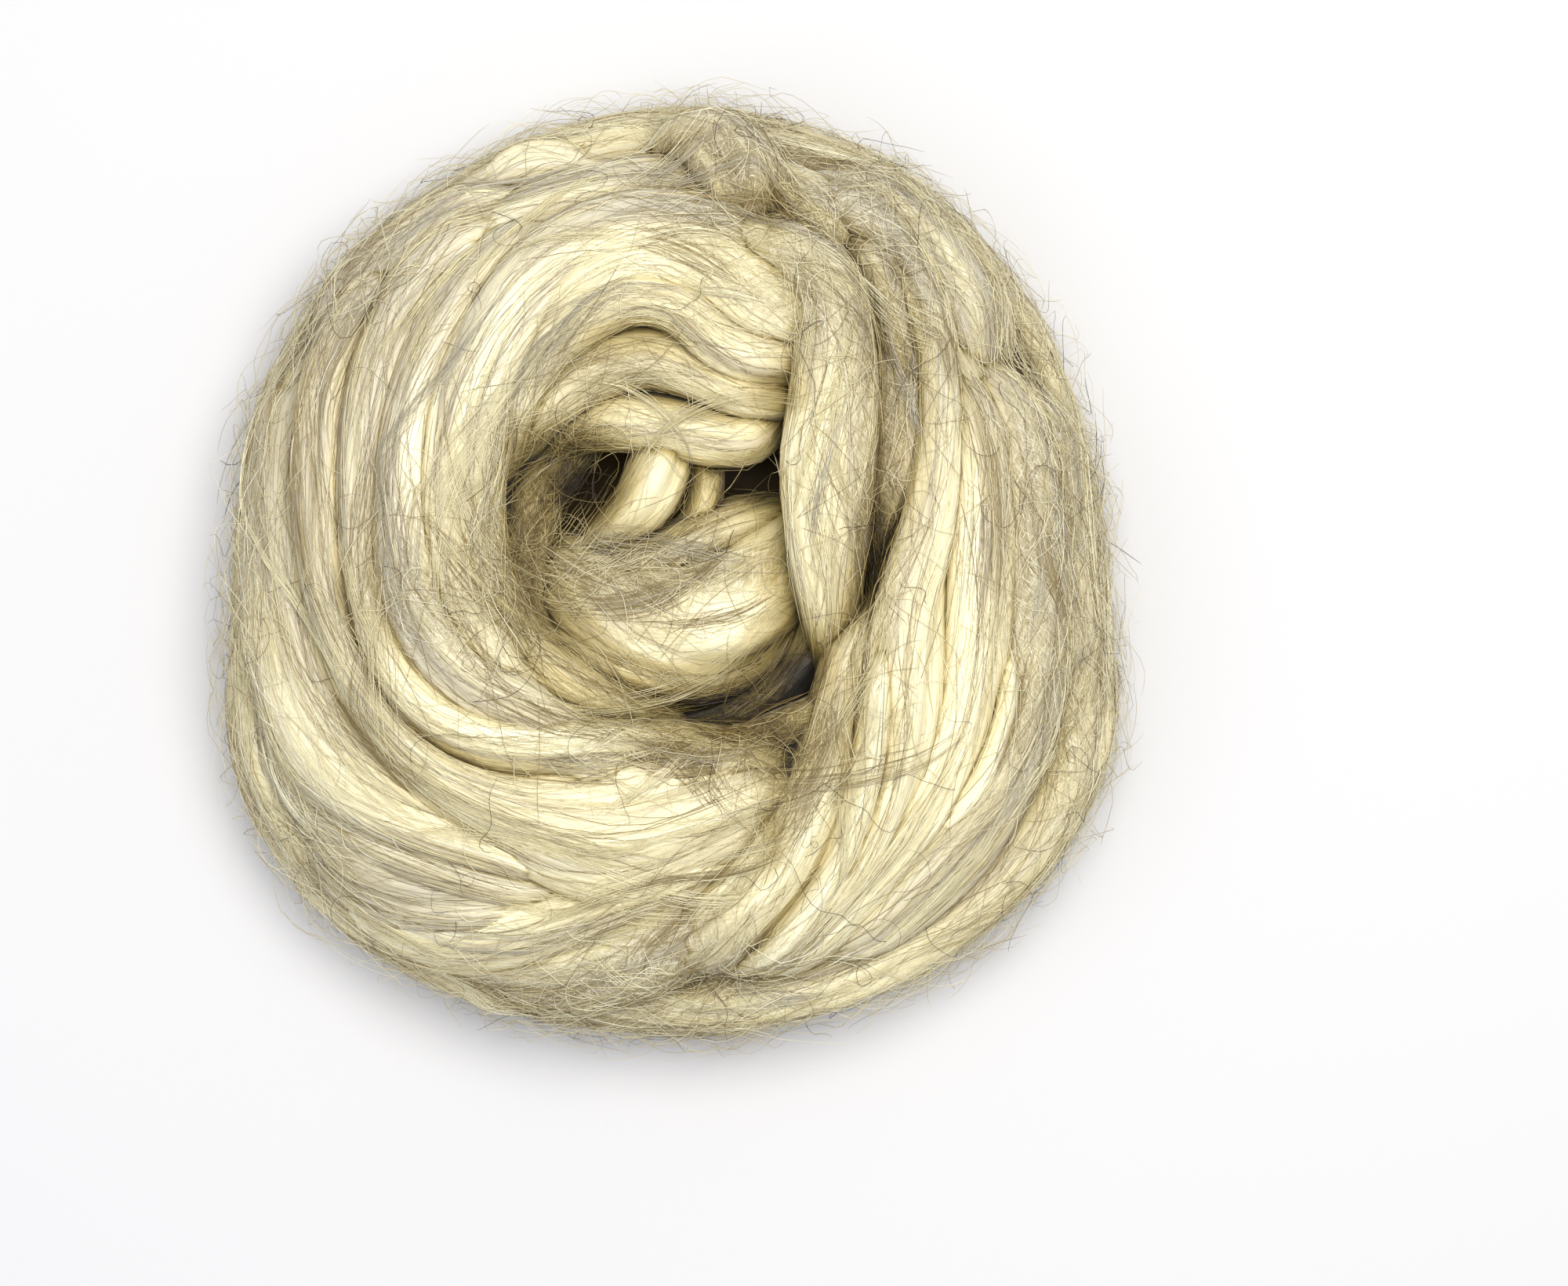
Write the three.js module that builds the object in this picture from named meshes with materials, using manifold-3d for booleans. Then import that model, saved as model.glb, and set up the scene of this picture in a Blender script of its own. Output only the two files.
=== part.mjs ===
// A nest of combed wool roving: one long, loose, untwisted strand, wound by hand into a fat ring with a
// folded middle, lying on a flat surface. Millimetres, +Z up; the origin is on that surface, under the
// middle of the nest. The strand is one piece, so the nest is one solid: a wound core, and each turn or
// fold of the strand that shows on it, swept along its own route and joined to the core.
import * as THREE from "three";
import { mergeVertices } from "three/addons/utils/BufferGeometryUtils.js";
import Module from "manifold-3d";

// ---- driving dimensions -------------------------------------------------------------------------

const crestHeight = 70; // the ring's top
const crestRadius = 50; // where that top lies
const widestHeight = 20; // the line where the ring is widest
const baseRadius = 98; // where the underside leaves the surface
const baseSink = 7; // how far the round section would reach below the surface, were it not flat there
const pocketRadius = 34; // the floor of the hollow in the middle
const pocketFloor = 16;
const outlineRadii = [112, 115, 121, 121, 119, 117, 113, 123, 121, 119, 123, 126]; // each 30 degrees from +X
const outlineMiddle = { x: 0.3, y: 1.19 }; // of the finished outline, about the ring's own centre
const coreInset = 6; // the core lies this far under the turns' outer face

const sectionSides = 10;
const stationSpacing = 13.5; // along a strand
const turnEnd = { length: 22, width: 0.45, thickness: 0.4, sink: 7 }; // how an end thins and sinks in
const foldEnd = { length: 8, width: 0.6, thickness: 0.6, sink: 2 };
const smallestStep = 0.2; // finer steps than this, where strands meet, are smoothed away

// Turns of the strand round the ring. Angles are degrees from +X, and roll goes round the ring's own
// section: 0 on the crest, 90 on the widest line, 180 underneath, less than 0 down into the hollow. Roll
// and width are evenly spaced along the turn; lift is how far the turn stands out of the wound form.
const turns = [
  { name: "sideUpper", from: 20, to: 400, lift: 0, thickness: 16,
    width: [18, 23, 22, 23, 18], roll: [69, 73, 78, 72, 76, 74, 70, 80] },
  { name: "sideLower", from: 280, to: 660, lift: 0, thickness: 16,
    width: [18, 22, 21, 22, 17], roll: [102, 107, 110, 105, 109, 106, 110, 114] },
  { name: "sideRising", from: 132, to: 268, lift: 1, thickness: 14,
    width: [14, 17, 16], roll: [104, 96, 88, 80, 72] },
  { name: "sideFalling", from: 318, to: 442, lift: 1, thickness: 14,
    width: [14, 17, 16], roll: [72, 82, 90, 94, 104] },
  { name: "topOuter", from: 56, to: 152, lift: 1, thickness: 13,
    width: [12, 17, 17, 14], roll: [76, 72, 68, 72, 76] },
  { name: "topGrey", from: 124, to: 54, lift: 0, thickness: 13,
    width: [16, 24, 22], roll: [58, 54, 53, 50] },
  { name: "leftOuter", from: 80, to: 250, lift: 1, thickness: 13,
    width: [14, 19, 20, 17], roll: [46, 54, 65, 67, 58, 46, 30] },
  { name: "leftSecond", from: 84, to: 282, lift: 2, thickness: 14,
    width: [14, 20, 21, 18, 14], roll: [40, 45, 47, 42, 30, 17, 9, 3] },
  { name: "leftThird", from: 92, to: 296, lift: 2, thickness: 14,
    width: [14, 19, 20, 16, 12], roll: [38, 37, 31, 23, 13, 4, -6, -10, -4] },
  { name: "lowerLeftInner", from: 198, to: 262, lift: 0, thickness: 13,
    width: [10, 18, 16], roll: [69, 53, 40, 32] },
  { name: "lowerLeftOuter", from: 210, to: 268, lift: 0, thickness: 13,
    width: [14, 18, 15], roll: [84, 64, 48, 34] },
  { name: "belly", from: 204, to: 306, lift: 2, thickness: 15,
    width: [12, 20, 26, 20], roll: [38, 28, 25, 19, 4] },
  { name: "lowerLobe", from: 216, to: 300, lift: 1, thickness: 16,
    width: [16, 24, 22, 16], roll: [96, 68, 43, 25, 10] },
  { name: "lowerTangle", from: 236, to: 296, lift: -1, thickness: 14,
    width: [18, 22, 18], roll: [88, 66, 46, 22] },
  { name: "rightInner", from: 82, to: -96, lift: -4, thickness: 14,
    width: [12, 15, 14, 18, 20], roll: [44, 31, 17, 8, 6, 20, 56] },
  { name: "rightOuterLow", from: 352, to: 262, lift: 0, thickness: 12,
    width: [14, 20, 18], roll: [80, 82, 84, 82, 84] },
  { name: "rightOuter", from: 54, to: -94, lift: 1, thickness: 14,
    width: [14, 22, 23, 17], roll: [84, 70, 62, 54, 58, 76] },
  { name: "rightThird", from: 74, to: -98, lift: 1, thickness: 14,
    width: [15, 19, 22, 18], roll: [70, 58, 44, 38, 36, 46, 76] },
  { name: "rightSecond", from: 62, to: -94, lift: 3, thickness: 14,
    width: [8, 14, 19, 20, 17], roll: [50, 39, 28, 25, 28, 41, 66] },
  { name: "rightFirst", from: 76, to: -92, lift: 3, thickness: 15,
    width: [14, 19, 19, 22, 18], roll: [58, 40, 18, 12, 13, 30, 62] },
];

// Folds of the strand in the middle, and the tuft tucked in at the top. Each column is a point on the
// fold's middle line: where it is, how high the fold's top face lies there, and how wide the fold is.
const folds = [
  { name: "arch", thickness: 18,
    x: [30, 15, -6, -26, -41, -50, -53, -50, -40, -24, -6],
    y: [77, 83, 85, 78, 62, 42, 20, 0, -17, -28, -33],
    top: [62, 67, 69, 69, 70, 70, 68, 65, 60, 54, 46],
    width: [14, 22, 25, 25, 23, 22, 22, 21, 18, 16, 12] },
  { name: "archWeb", thickness: 15,
    x: [-42, -30, -10, 8, 20, 33, 48],
    y: [50, 68, 79, 77, 70, 65, 58],
    top: [60, 68, 70, 70, 70, 69, 60],
    width: [12, 16, 20, 22, 24, 20, 12] },
  { name: "innerArch", thickness: 16,
    x: [-47, -42, -33, -20, -8, 4, 13, 22, 33, 46],
    y: [20, 40, 57, 67, 71, 68, 60, 56, 56, 56],
    top: [56, 64, 68, 70, 71, 71, 70, 69, 66, 58],
    width: [12, 15, 17, 17, 15, 15, 16, 16, 15, 11] },
  { name: "tanFold", thickness: 15,
    x: [-42, -34, -20, -5, 8, 20, 36],
    y: [24, 43, 54, 57, 52, 47, 46],
    top: [46, 58, 63, 64, 63, 61, 53],
    width: [12, 15, 16, 16, 14, 13, 10] },
  { name: "brightFold", thickness: 16,
    x: [-40, -28, -14, 0, 12, 22, 36],
    y: [26, 38, 41, 39, 36, 35, 38],
    top: [40, 52, 58, 59, 58, 57, 48],
    width: [10, 13, 15, 16, 17, 16, 12] },
  { name: "pocketSide", thickness: 18,
    x: [-26, -37, -40, -35, -22, -4, 16],
    y: [35, 20, 2, -14, -27, -34, -38],
    top: [34, 45, 47, 46, 43, 40, 36],
    width: [14, 18, 18, 18, 18, 16, 14] },
  { name: "sideStrand", thickness: 12,
    x: [5, 10, 9, 1, -12],
    y: [36, 26, 16, 8, 4],
    top: [42, 49, 50, 46, 38],
    width: [9, 10, 10, 9, 8] },
  { name: "knob", thickness: 20,
    x: [0, -1, -2, -5, -12, -24],
    y: [46, 36, 27, 18, 11, 5],
    top: [44, 54, 60, 60, 53, 38],
    width: [14, 18, 20, 20, 16, 11] },
  { name: "bunLower", thickness: 18,
    x: [-36, -25, -9, 8, 22, 31],
    y: [-1, -14, -21, -23, -16, -2],
    top: [42, 51, 54, 54, 51, 44],
    width: [13, 16, 17, 17, 16, 13] },
  { name: "bunUpper", thickness: 18,
    x: [-40, -29, -8, 8, 20, 34],
    y: [8, 4, 2, 9, 14, 18],
    top: [38, 48, 53, 54, 52, 42],
    width: [10, 15, 16, 15, 14, 12] },
  { name: "bunUnder", thickness: 36,
    x: [-28, -10, 8, 26],
    y: [-6, -8, -6, 2],
    top: [36, 40, 40, 36],
    width: [34, 42, 42, 34] },
  { name: "bun", thickness: 28,
    x: [-40, -24, -4, 12, 24, 36],
    y: [5, -7, -12, -7, 3, 16],
    top: [42, 54, 60, 61, 57, 44],
    width: [16, 26, 32, 32, 28, 18] },
  { name: "hangingStrand", thickness: 19,
    x: [10, 26, 37, 41.5, 42, 40.5, 40, 40.5, 41, 41],
    y: [85, 83, 75, 60, 44, 28, 12, -3, -16, -25],
    top: [60, 68, 71, 74, 75, 75, 73, 68, 59, 48],
    width: [14, 17, 20, 21, 23, 25, 22, 17, 12, 8] },
  { name: "tuft", thickness: 15,
    x: [24, 21, 17, 10, 3, 0],
    y: [82, 93, 104, 110, 108, 100],
    top: [60, 62, 60, 56, 49, 42],
    width: [16, 21, 22, 20, 16, 12] },
];

// The deep gap that stays open under the end of the hanging strand: its middle and its reach each way.
const strandGap = { x: 32, y: -25, z: 46, reach: [10, 7, 26] };

// ---- the wound form -----------------------------------------------------------------------------

const radians = THREE.MathUtils.degToRad;

// The value at t, from 0 to 1, of a smooth line through evenly spaced values.
function smoothValue(values, t) {
  const at = Math.min(t, 1) * (values.length - 1);
  const i = Math.min(Math.floor(at), values.length - 2);
  const near = (k) => values[THREE.MathUtils.clamp(k, 0, values.length - 1)];
  const [a, b, c, d] = [near(i - 1), near(i), near(i + 1), near(i + 2)];
  const u = at - i;
  return b + 0.5 * u * (c - a + u * (2 * a - 5 * b + 4 * c - d + u * (3 * (b - c) + d - a)));
}

function outlineRadius(angle) {
  const turn = THREE.MathUtils.euclideanModulo(angle, 360) / 360;
  const count = outlineRadii.length;
  const wrapped = [...outlineRadii.slice(-1), ...outlineRadii, ...outlineRadii.slice(0, 2)];
  return smoothValue(wrapped, (turn * count + 1) / (wrapped.length - 1));
}

// A point on the wound form's outer face.
function formPoint(angle, roll) {
  const [s, c] = [Math.sin(radians(roll)), Math.cos(radians(roll))];
  const outer = outlineRadius(angle);
  let radius = baseRadius + (outer - baseRadius) * s;
  let height = widestHeight + (widestHeight + baseSink) * c;
  if (roll < 0) {
    radius = crestRadius + (crestRadius - pocketRadius) * s;
    height = pocketFloor + (crestHeight - pocketFloor) * c;
  } else if (roll <= 90) {
    radius = crestRadius + (outer - crestRadius) * s;
    height = widestHeight + (crestHeight - widestHeight) * c;
  }
  return new THREE.Vector3(
    radius * Math.cos(radians(angle)),
    radius * Math.sin(radians(angle)),
    height,
  );
}

function formNormal(angle, roll) {
  const step = 0.5;
  const along = formPoint(angle + step, roll).sub(formPoint(angle - step, roll));
  const round = formPoint(angle, roll + step).sub(formPoint(angle, roll - step));
  return round.cross(along).normalize();
}

// The core's closed face: a grid of rings from the middle of the hollow's floor to the middle of the base.
function coreGeometry() {
  const ringCount = 36;
  const rolls = [-88, -66, -44, -22, 0, 22, 44, 66, 88, 112, 136, 160, 178];
  const rings = rolls.map((roll) =>
    Array.from({ length: ringCount }, (_, i) => {
      const angle = (360 * i) / ringCount;
      return formPoint(angle, roll).addScaledVector(formNormal(angle, roll), -coreInset);
    }),
  );
  rings.reverse();
  return ringedGeometry(rings);
}

// ---- sweeping a strand --------------------------------------------------------------------------

// A closed body from rings of points, with a fan over the middle of its first and last ring.
function ringedGeometry(rings) {
  const sides = rings[0].length;
  const middle = (ring) =>
    ring.reduce((sum, p) => sum.add(p), new THREE.Vector3()).divideScalar(sides);
  const points = [...rings.flat(), middle(rings[0]), middle(rings[rings.length - 1])];
  const first = rings.length * sides;
  const lastRing = (rings.length - 1) * sides;
  const index = [];
  for (let j = 0; j < sides; j++) {
    const k = (j + 1) % sides;
    index.push(first, k, j, first + 1, lastRing + j, lastRing + k);
    for (let i = 0; i < lastRing; i += sides) {
      index.push(i + j, i + k, i + sides + k, i + j, i + sides + k, i + sides + j);
    }
  }
  return new THREE.BufferGeometry().setFromPoints(points).setIndex(index);
}

// Stations along a strand: a point on its middle line, its outward direction there, and its width.
function turnStations(turn) {
  const place = (t) => {
    const angle = THREE.MathUtils.lerp(turn.from, turn.to, t);
    const roll = smoothValue(turn.roll, t);
    const out = formNormal(angle, roll);
    const point = formPoint(angle, roll).addScaledVector(out, turn.lift - turn.thickness / 2);
    return { point, out, width: smoothValue(turn.width, t) };
  };
  const arc = radians(Math.abs(turn.to - turn.from)) * outlineRadius(turn.from) * 0.8;
  const count = Math.ceil(arc / stationSpacing);
  return Array.from({ length: count + 1 }, (_, i) => place(i / count));
}

function foldStations(fold) {
  const points = fold.x.map((x, i) => new THREE.Vector3(x, fold.y[i], fold.top[i] - fold.thickness / 2));
  const line = new THREE.CatmullRomCurve3(points);
  const count = Math.ceil(line.getLength() / stationSpacing);
  return Array.from({ length: count + 1 }, (_, i) => {
    const t = line.getUtoTmapping(i / count);
    return { point: line.getPoint(t), out: new THREE.Vector3(0, 0, 1), width: smoothValue(fold.width, t) };
  });
}

// A strand's closed body: an oval section at each station, which thins and sinks at both ends.
function strandGeometry(thickness, stations, end) {
  const lengths = [0];
  for (let i = 1; i < stations.length; i++) {
    lengths.push(lengths[i - 1] + stations[i].point.distanceTo(stations[i - 1].point));
  }
  const total = lengths[lengths.length - 1];
  const rings = stations.map(({ point, out, width }, i) => {
    const before = stations[Math.max(i - 1, 0)].point;
    const after = stations[Math.min(i + 1, stations.length - 1)].point;
    const along = new THREE.Vector3().subVectors(after, before).normalize();
    const across = new THREE.Vector3().crossVectors(out, along).normalize();
    const up = new THREE.Vector3().crossVectors(along, across);
    const toEnd = Math.min(lengths[i], total - lengths[i]);
    const full = THREE.MathUtils.smoothstep(toEnd, 0, end.length);
    const halfWidth = 0.5 * width * THREE.MathUtils.lerp(end.width, 1, full);
    const halfThickness = 0.5 * thickness * THREE.MathUtils.lerp(end.thickness, 1, full);
    const middle = point.clone().addScaledVector(up, -end.sink * (1 - full));
    return Array.from({ length: sectionSides }, (_, k) => {
      const around = (2 * Math.PI * k) / sectionSides;
      return middle
        .clone()
        .addScaledVector(across, halfWidth * Math.cos(around))
        .addScaledVector(up, halfThickness * Math.sin(around));
    });
  });
  return ringedGeometry(rings);
}

// ---- joining ------------------------------------------------------------------------------------

const wasm = await Module();
wasm.setup();

function solidOf(geometry) {
  const merged = mergeVertices(geometry);
  return new wasm.Manifold(
    new wasm.Mesh({
      numProp: 3,
      vertProperties: merged.attributes.position.array,
      triVerts: new Uint32Array(merged.index.array),
    }),
  );
}

// An egg-shaped body to take away where a gap is.
function gapGeometry({ x, y, z, reach }) {
  const egg = new THREE.SphereGeometry(1, 12, 8).scale(...reach).translate(x, y, z);
  egg.deleteAttribute("normal");
  egg.deleteAttribute("uv");
  return egg;
}

function geometryOf(solid) {
  const { vertProperties, triVerts } = solid.getMesh();
  return new THREE.BufferGeometry()
    .setAttribute("position", new THREE.BufferAttribute(vertProperties, 3))
    .setIndex(new THREE.BufferAttribute(triVerts, 1));
}

// The whole nest: core and strands joined, flat where it lies, with no sealed gaps left between strands.
function nestGeometry() {
  const strands = [
    ...turns.map((turn) => strandGeometry(turn.thickness, turnStations(turn), turnEnd)),
    ...folds.map((fold) => strandGeometry(fold.thickness, foldStations(fold), foldEnd)),
  ];
  const core = solidOf(coreGeometry()).subtract(solidOf(gapGeometry(strandGap)));
  const joined = strands
    .map(solidOf)
    .reduce((sum, strand) => sum.add(strand), core)
    .trimByPlane([0, 0, 1], 0)
    .simplify(smallestStep);
  const outer = joined
    .decompose()
    .reduce((largest, body) => (body.volume() > largest.volume() ? body : largest));
  return geometryOf(outer).translate(-outlineMiddle.x, -outlineMiddle.y, 0);
}

const nest = new THREE.Mesh(
  nestGeometry(),
  new THREE.MeshStandardMaterial({ color: "#e2d9ae", roughness: 0.6, metalness: 0 }),
);
nest.name = "roving";

const part = new THREE.Group();
part.add(nest);

export default part;
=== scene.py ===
import math

import bpy
import numpy as np
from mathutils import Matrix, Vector
from mathutils.bvhtree import BVHTree


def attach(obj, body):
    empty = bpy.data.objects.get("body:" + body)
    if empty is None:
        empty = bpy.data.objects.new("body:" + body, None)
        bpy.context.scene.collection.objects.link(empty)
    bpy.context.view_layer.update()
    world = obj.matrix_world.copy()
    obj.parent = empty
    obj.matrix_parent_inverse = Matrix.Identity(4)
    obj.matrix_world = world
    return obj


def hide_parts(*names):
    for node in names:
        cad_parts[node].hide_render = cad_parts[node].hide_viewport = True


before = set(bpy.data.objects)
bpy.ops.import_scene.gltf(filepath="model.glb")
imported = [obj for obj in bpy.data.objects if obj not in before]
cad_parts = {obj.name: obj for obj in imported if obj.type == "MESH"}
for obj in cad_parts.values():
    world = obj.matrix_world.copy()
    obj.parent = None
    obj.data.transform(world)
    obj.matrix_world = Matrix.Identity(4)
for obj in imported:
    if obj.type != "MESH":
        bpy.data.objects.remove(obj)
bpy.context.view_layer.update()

# A nest of combed wool roving. The wound turns and the folds in the middle are laid as thick strands, each
# ridged with the locks that combing leaves. Fine fibres follow the locks, looser ones cross from one strand
# to the next, and a few dark kemp hairs stand out. Lengths are in mm until a mesh is made.

toMetres = 0.001
dice = np.random.default_rng(4417)

# The camera, the floor and the light. Lamp powers are in watts.
studio = {
    "lookAt": (28.7, -18.2),  # the middle of the view
    "viewWidth": 400.0,  # what the view takes in from left to right, at the height of the folds
    "foldHeight": 50.0, "cameraHeight": 1450.0, "sensorWidth": 36.0,
    "floorColour": "#D9D9DC", "floorSize": 6000.0, "floorGap": 0.2, "floorRoughness": 0.7,
    "lampAim": (0.0, 0.0, 40.0),
    "keyPlace": (190.0, 220.0, 1320.0), "keySize": 900.0, "keyPower": 17.9, "keyColour": "#FFFCF4",
    "fillPlace": (-700.0, -200.0, 1100.0), "fillSize": 900.0, "fillPower": 2.0, "fillColour": "#F1F5FF",
    "skyColour": "#F7F9FF", "skyStrength": 0.53,
}


def linearColour(hexColour):
    parts = [int(hexColour[k:k + 2], 16) / 255 for k in (1, 3, 5)]
    return tuple(c / 12.92 if c <= 0.04045 else ((c + 0.055) / 1.055) ** 2.4 for c in parts) + (1.0,)


def addNode(tree, kind, inputs=None, links=None, **settings):
    node = tree.nodes.new(kind)
    for name, value in settings.items():
        setattr(node, name, value)
    for name, value in (inputs or {}).items():
        node.inputs[name].default_value = value
    for name, source in (links or {}).items():
        tree.links.new(source, node.inputs[name])
    return node


def setStops(ramp, stops):
    elements = ramp.color_ramp.elements
    while len(elements) < len(stops):
        elements.new(0.5)
    for element, (position, hexColour) in zip(elements, stops):
        element.position = position
        element.color = linearColour(hexColour)


def newMaterial(name):
    material = bpy.data.materials.new(name)
    material.use_nodes = True
    material.node_tree.nodes.clear()
    return material, material.node_tree


def softLamp(name, place, size, power, hexColour, aimAt):
    lamp = bpy.data.lights.new(name, "AREA")
    lamp.shape = "DISK"
    lamp.size = size * toMetres
    lamp.energy = power
    lamp.color = linearColour(hexColour)[:3]
    holder = bpy.data.objects.new(name, lamp)
    holder.location = Vector(place) * toMetres
    aim = Vector(aimAt) * toMetres - holder.location
    holder.rotation_euler = aim.to_track_quat("-Z", "Y").to_euler()
    bpy.context.scene.collection.objects.link(holder)


def setStudio(s):
    scene = bpy.context.scene
    camera = bpy.data.cameras.new("overheadCamera")
    camera.sensor_width = s["sensorWidth"]
    camera.lens = s["sensorWidth"] * (s["cameraHeight"] - s["foldHeight"]) / s["viewWidth"]
    camera.clip_end = 50.0
    stand = bpy.data.objects.new("overheadCamera", camera)
    stand.location = Vector((*s["lookAt"], s["cameraHeight"])) * toMetres
    scene.collection.objects.link(stand)
    scene.camera = stand

    material, tree = newMaterial("paintedFloor")
    shader = addNode(tree, "ShaderNodeBsdfPrincipled",
                     {"Roughness": s["floorRoughness"], "Base Color": linearColour(s["floorColour"])})
    addNode(tree, "ShaderNodeOutputMaterial", links={"Surface": shader.outputs[0]})
    half, low = s["floorSize"] / 2 * toMetres, -s["floorGap"] * toMetres
    mesh = bpy.data.meshes.new("floor")
    mesh.from_pydata([(-half, -half, low), (half, -half, low), (half, half, low), (-half, half, low)], [],
                     [(0, 1, 2, 3)])
    mesh.materials.append(material)
    floor = bpy.data.objects.new("floor", mesh)
    scene.collection.objects.link(floor)

    for name, lamp in (("windowLight", "key"), ("fillLight", "fill")):
        place, size, power, colour = (s[lamp + part] for part in ("Place", "Size", "Power", "Colour"))
        softLamp(name, place, size, power, colour, s["lampAim"])
    world = bpy.data.worlds.new("paleRoom")
    world.use_nodes = True
    background = world.node_tree.nodes["Background"]
    background.inputs["Color"].default_value = linearColour(s["skyColour"])
    background.inputs["Strength"].default_value = s["skyStrength"]
    scene.world = world
    scene.view_settings.view_transform = "Standard"


setStudio(studio)
print("STAGE camera, floor and light are set")

# The wound form that every turn lies on, and how a strand's ends thin and sink in.
nestForm = {
    "crestHeight": 70.0, "crestRadius": 50.0, "widestHeight": 20.0, "baseRadius": 98.0, "baseSink": 7.0,
    "pocketRadius": 34.0, "pocketFloor": 16.0,
    "outlineRadii": [112, 115, 121, 121, 119, 117, 113, 123, 121, 119, 123, 126],  # each 30 degrees from +X
    "middle": (0.3, 1.19),  # of the finished outline, about the ring's own centre
    "coreInset": 7.0, "coreInsetTop": 13.0, "coreInsetInside": 15.0,
    "coreRolls": (-88, 178), "coreRings": 48, "coreStep": 3.6,
    "turnEnd": {"length": 42.0, "width": 0.4, "thickness": 0.3, "sink": 12.0},
    "foldEnd": {"length": 10.0, "width": 0.55, "thickness": 0.55, "sink": 3.0},
}

strandShape = {
    "turnSpacing": 4.4, "foldSpacing": 2.8,  # between sections
    "turnRadius": 0.8,  # how far out a turn lies, as a share of the outline's radius
    "spread": 1.36,  # how far neighbours overlap, as a share of their width
    "turnFullness": 1.55, "foldFullness": 2.0,  # 2 is a plain oval, and less gives thin edges
    "sidesOver": 34, "sidesUnder": 6,  # points round a section, on its outer and its buried half
    "edge": 0.12,  # radians that the outer half goes round past its own half
    "furthestOut": 0.97, "furthestIn": 0.9,  # of the way from the crest to the outline, and to the hollow
    "innerTilt": -10.0,  # degrees: on the inner slope too, a strand lies nearly flat
    "leastSlope": 0.6,  # a strand on the steep side is widened by no more than one over this
}

# Angles are degrees from +X; roll goes round the ring's own section: 0 on the crest, 90 on the widest line.
# twist is how far the fibres wind round their own strand from its start to its end, in degrees.
turns = {
    "sideUpper": {"angle": (20, 400), "lift": -1, "thickness": 16, "twist": 60,
                  "width": [18, 23, 22, 23, 18], "roll": [69, 73, 78, 72, 76, 74, 70, 80]},
    "sideLower": {"angle": (280, 660), "lift": 0, "thickness": 16, "twist": -50,
                  "width": [18, 22, 21, 22, 17], "roll": [102, 107, 110, 105, 109, 106, 110, 114]},
    "sideRising": {"angle": (132, 268), "lift": 1, "thickness": 14, "twist": 30,
                   "width": [14, 17, 16], "roll": [104, 96, 88, 80, 72]},
    "sideFalling": {"angle": (318, 442), "lift": 1, "thickness": 14, "twist": -25,
                    "width": [14, 17, 16], "roll": [72, 82, 90, 94, 104]},
    "crestUnder": {"angle": (60, 420), "lift": -5, "thickness": 12, "twist": 40,
                   "width": [16, 19, 19, 18], "roll": [26, 20, 22, 24, 18, 26]},
    "shoulderUnder": {"angle": (140, 500), "lift": -5, "thickness": 12, "twist": -40,
                      "width": [18, 22, 22, 20], "roll": [44, 40, 44, 42, 46]},
}

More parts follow.
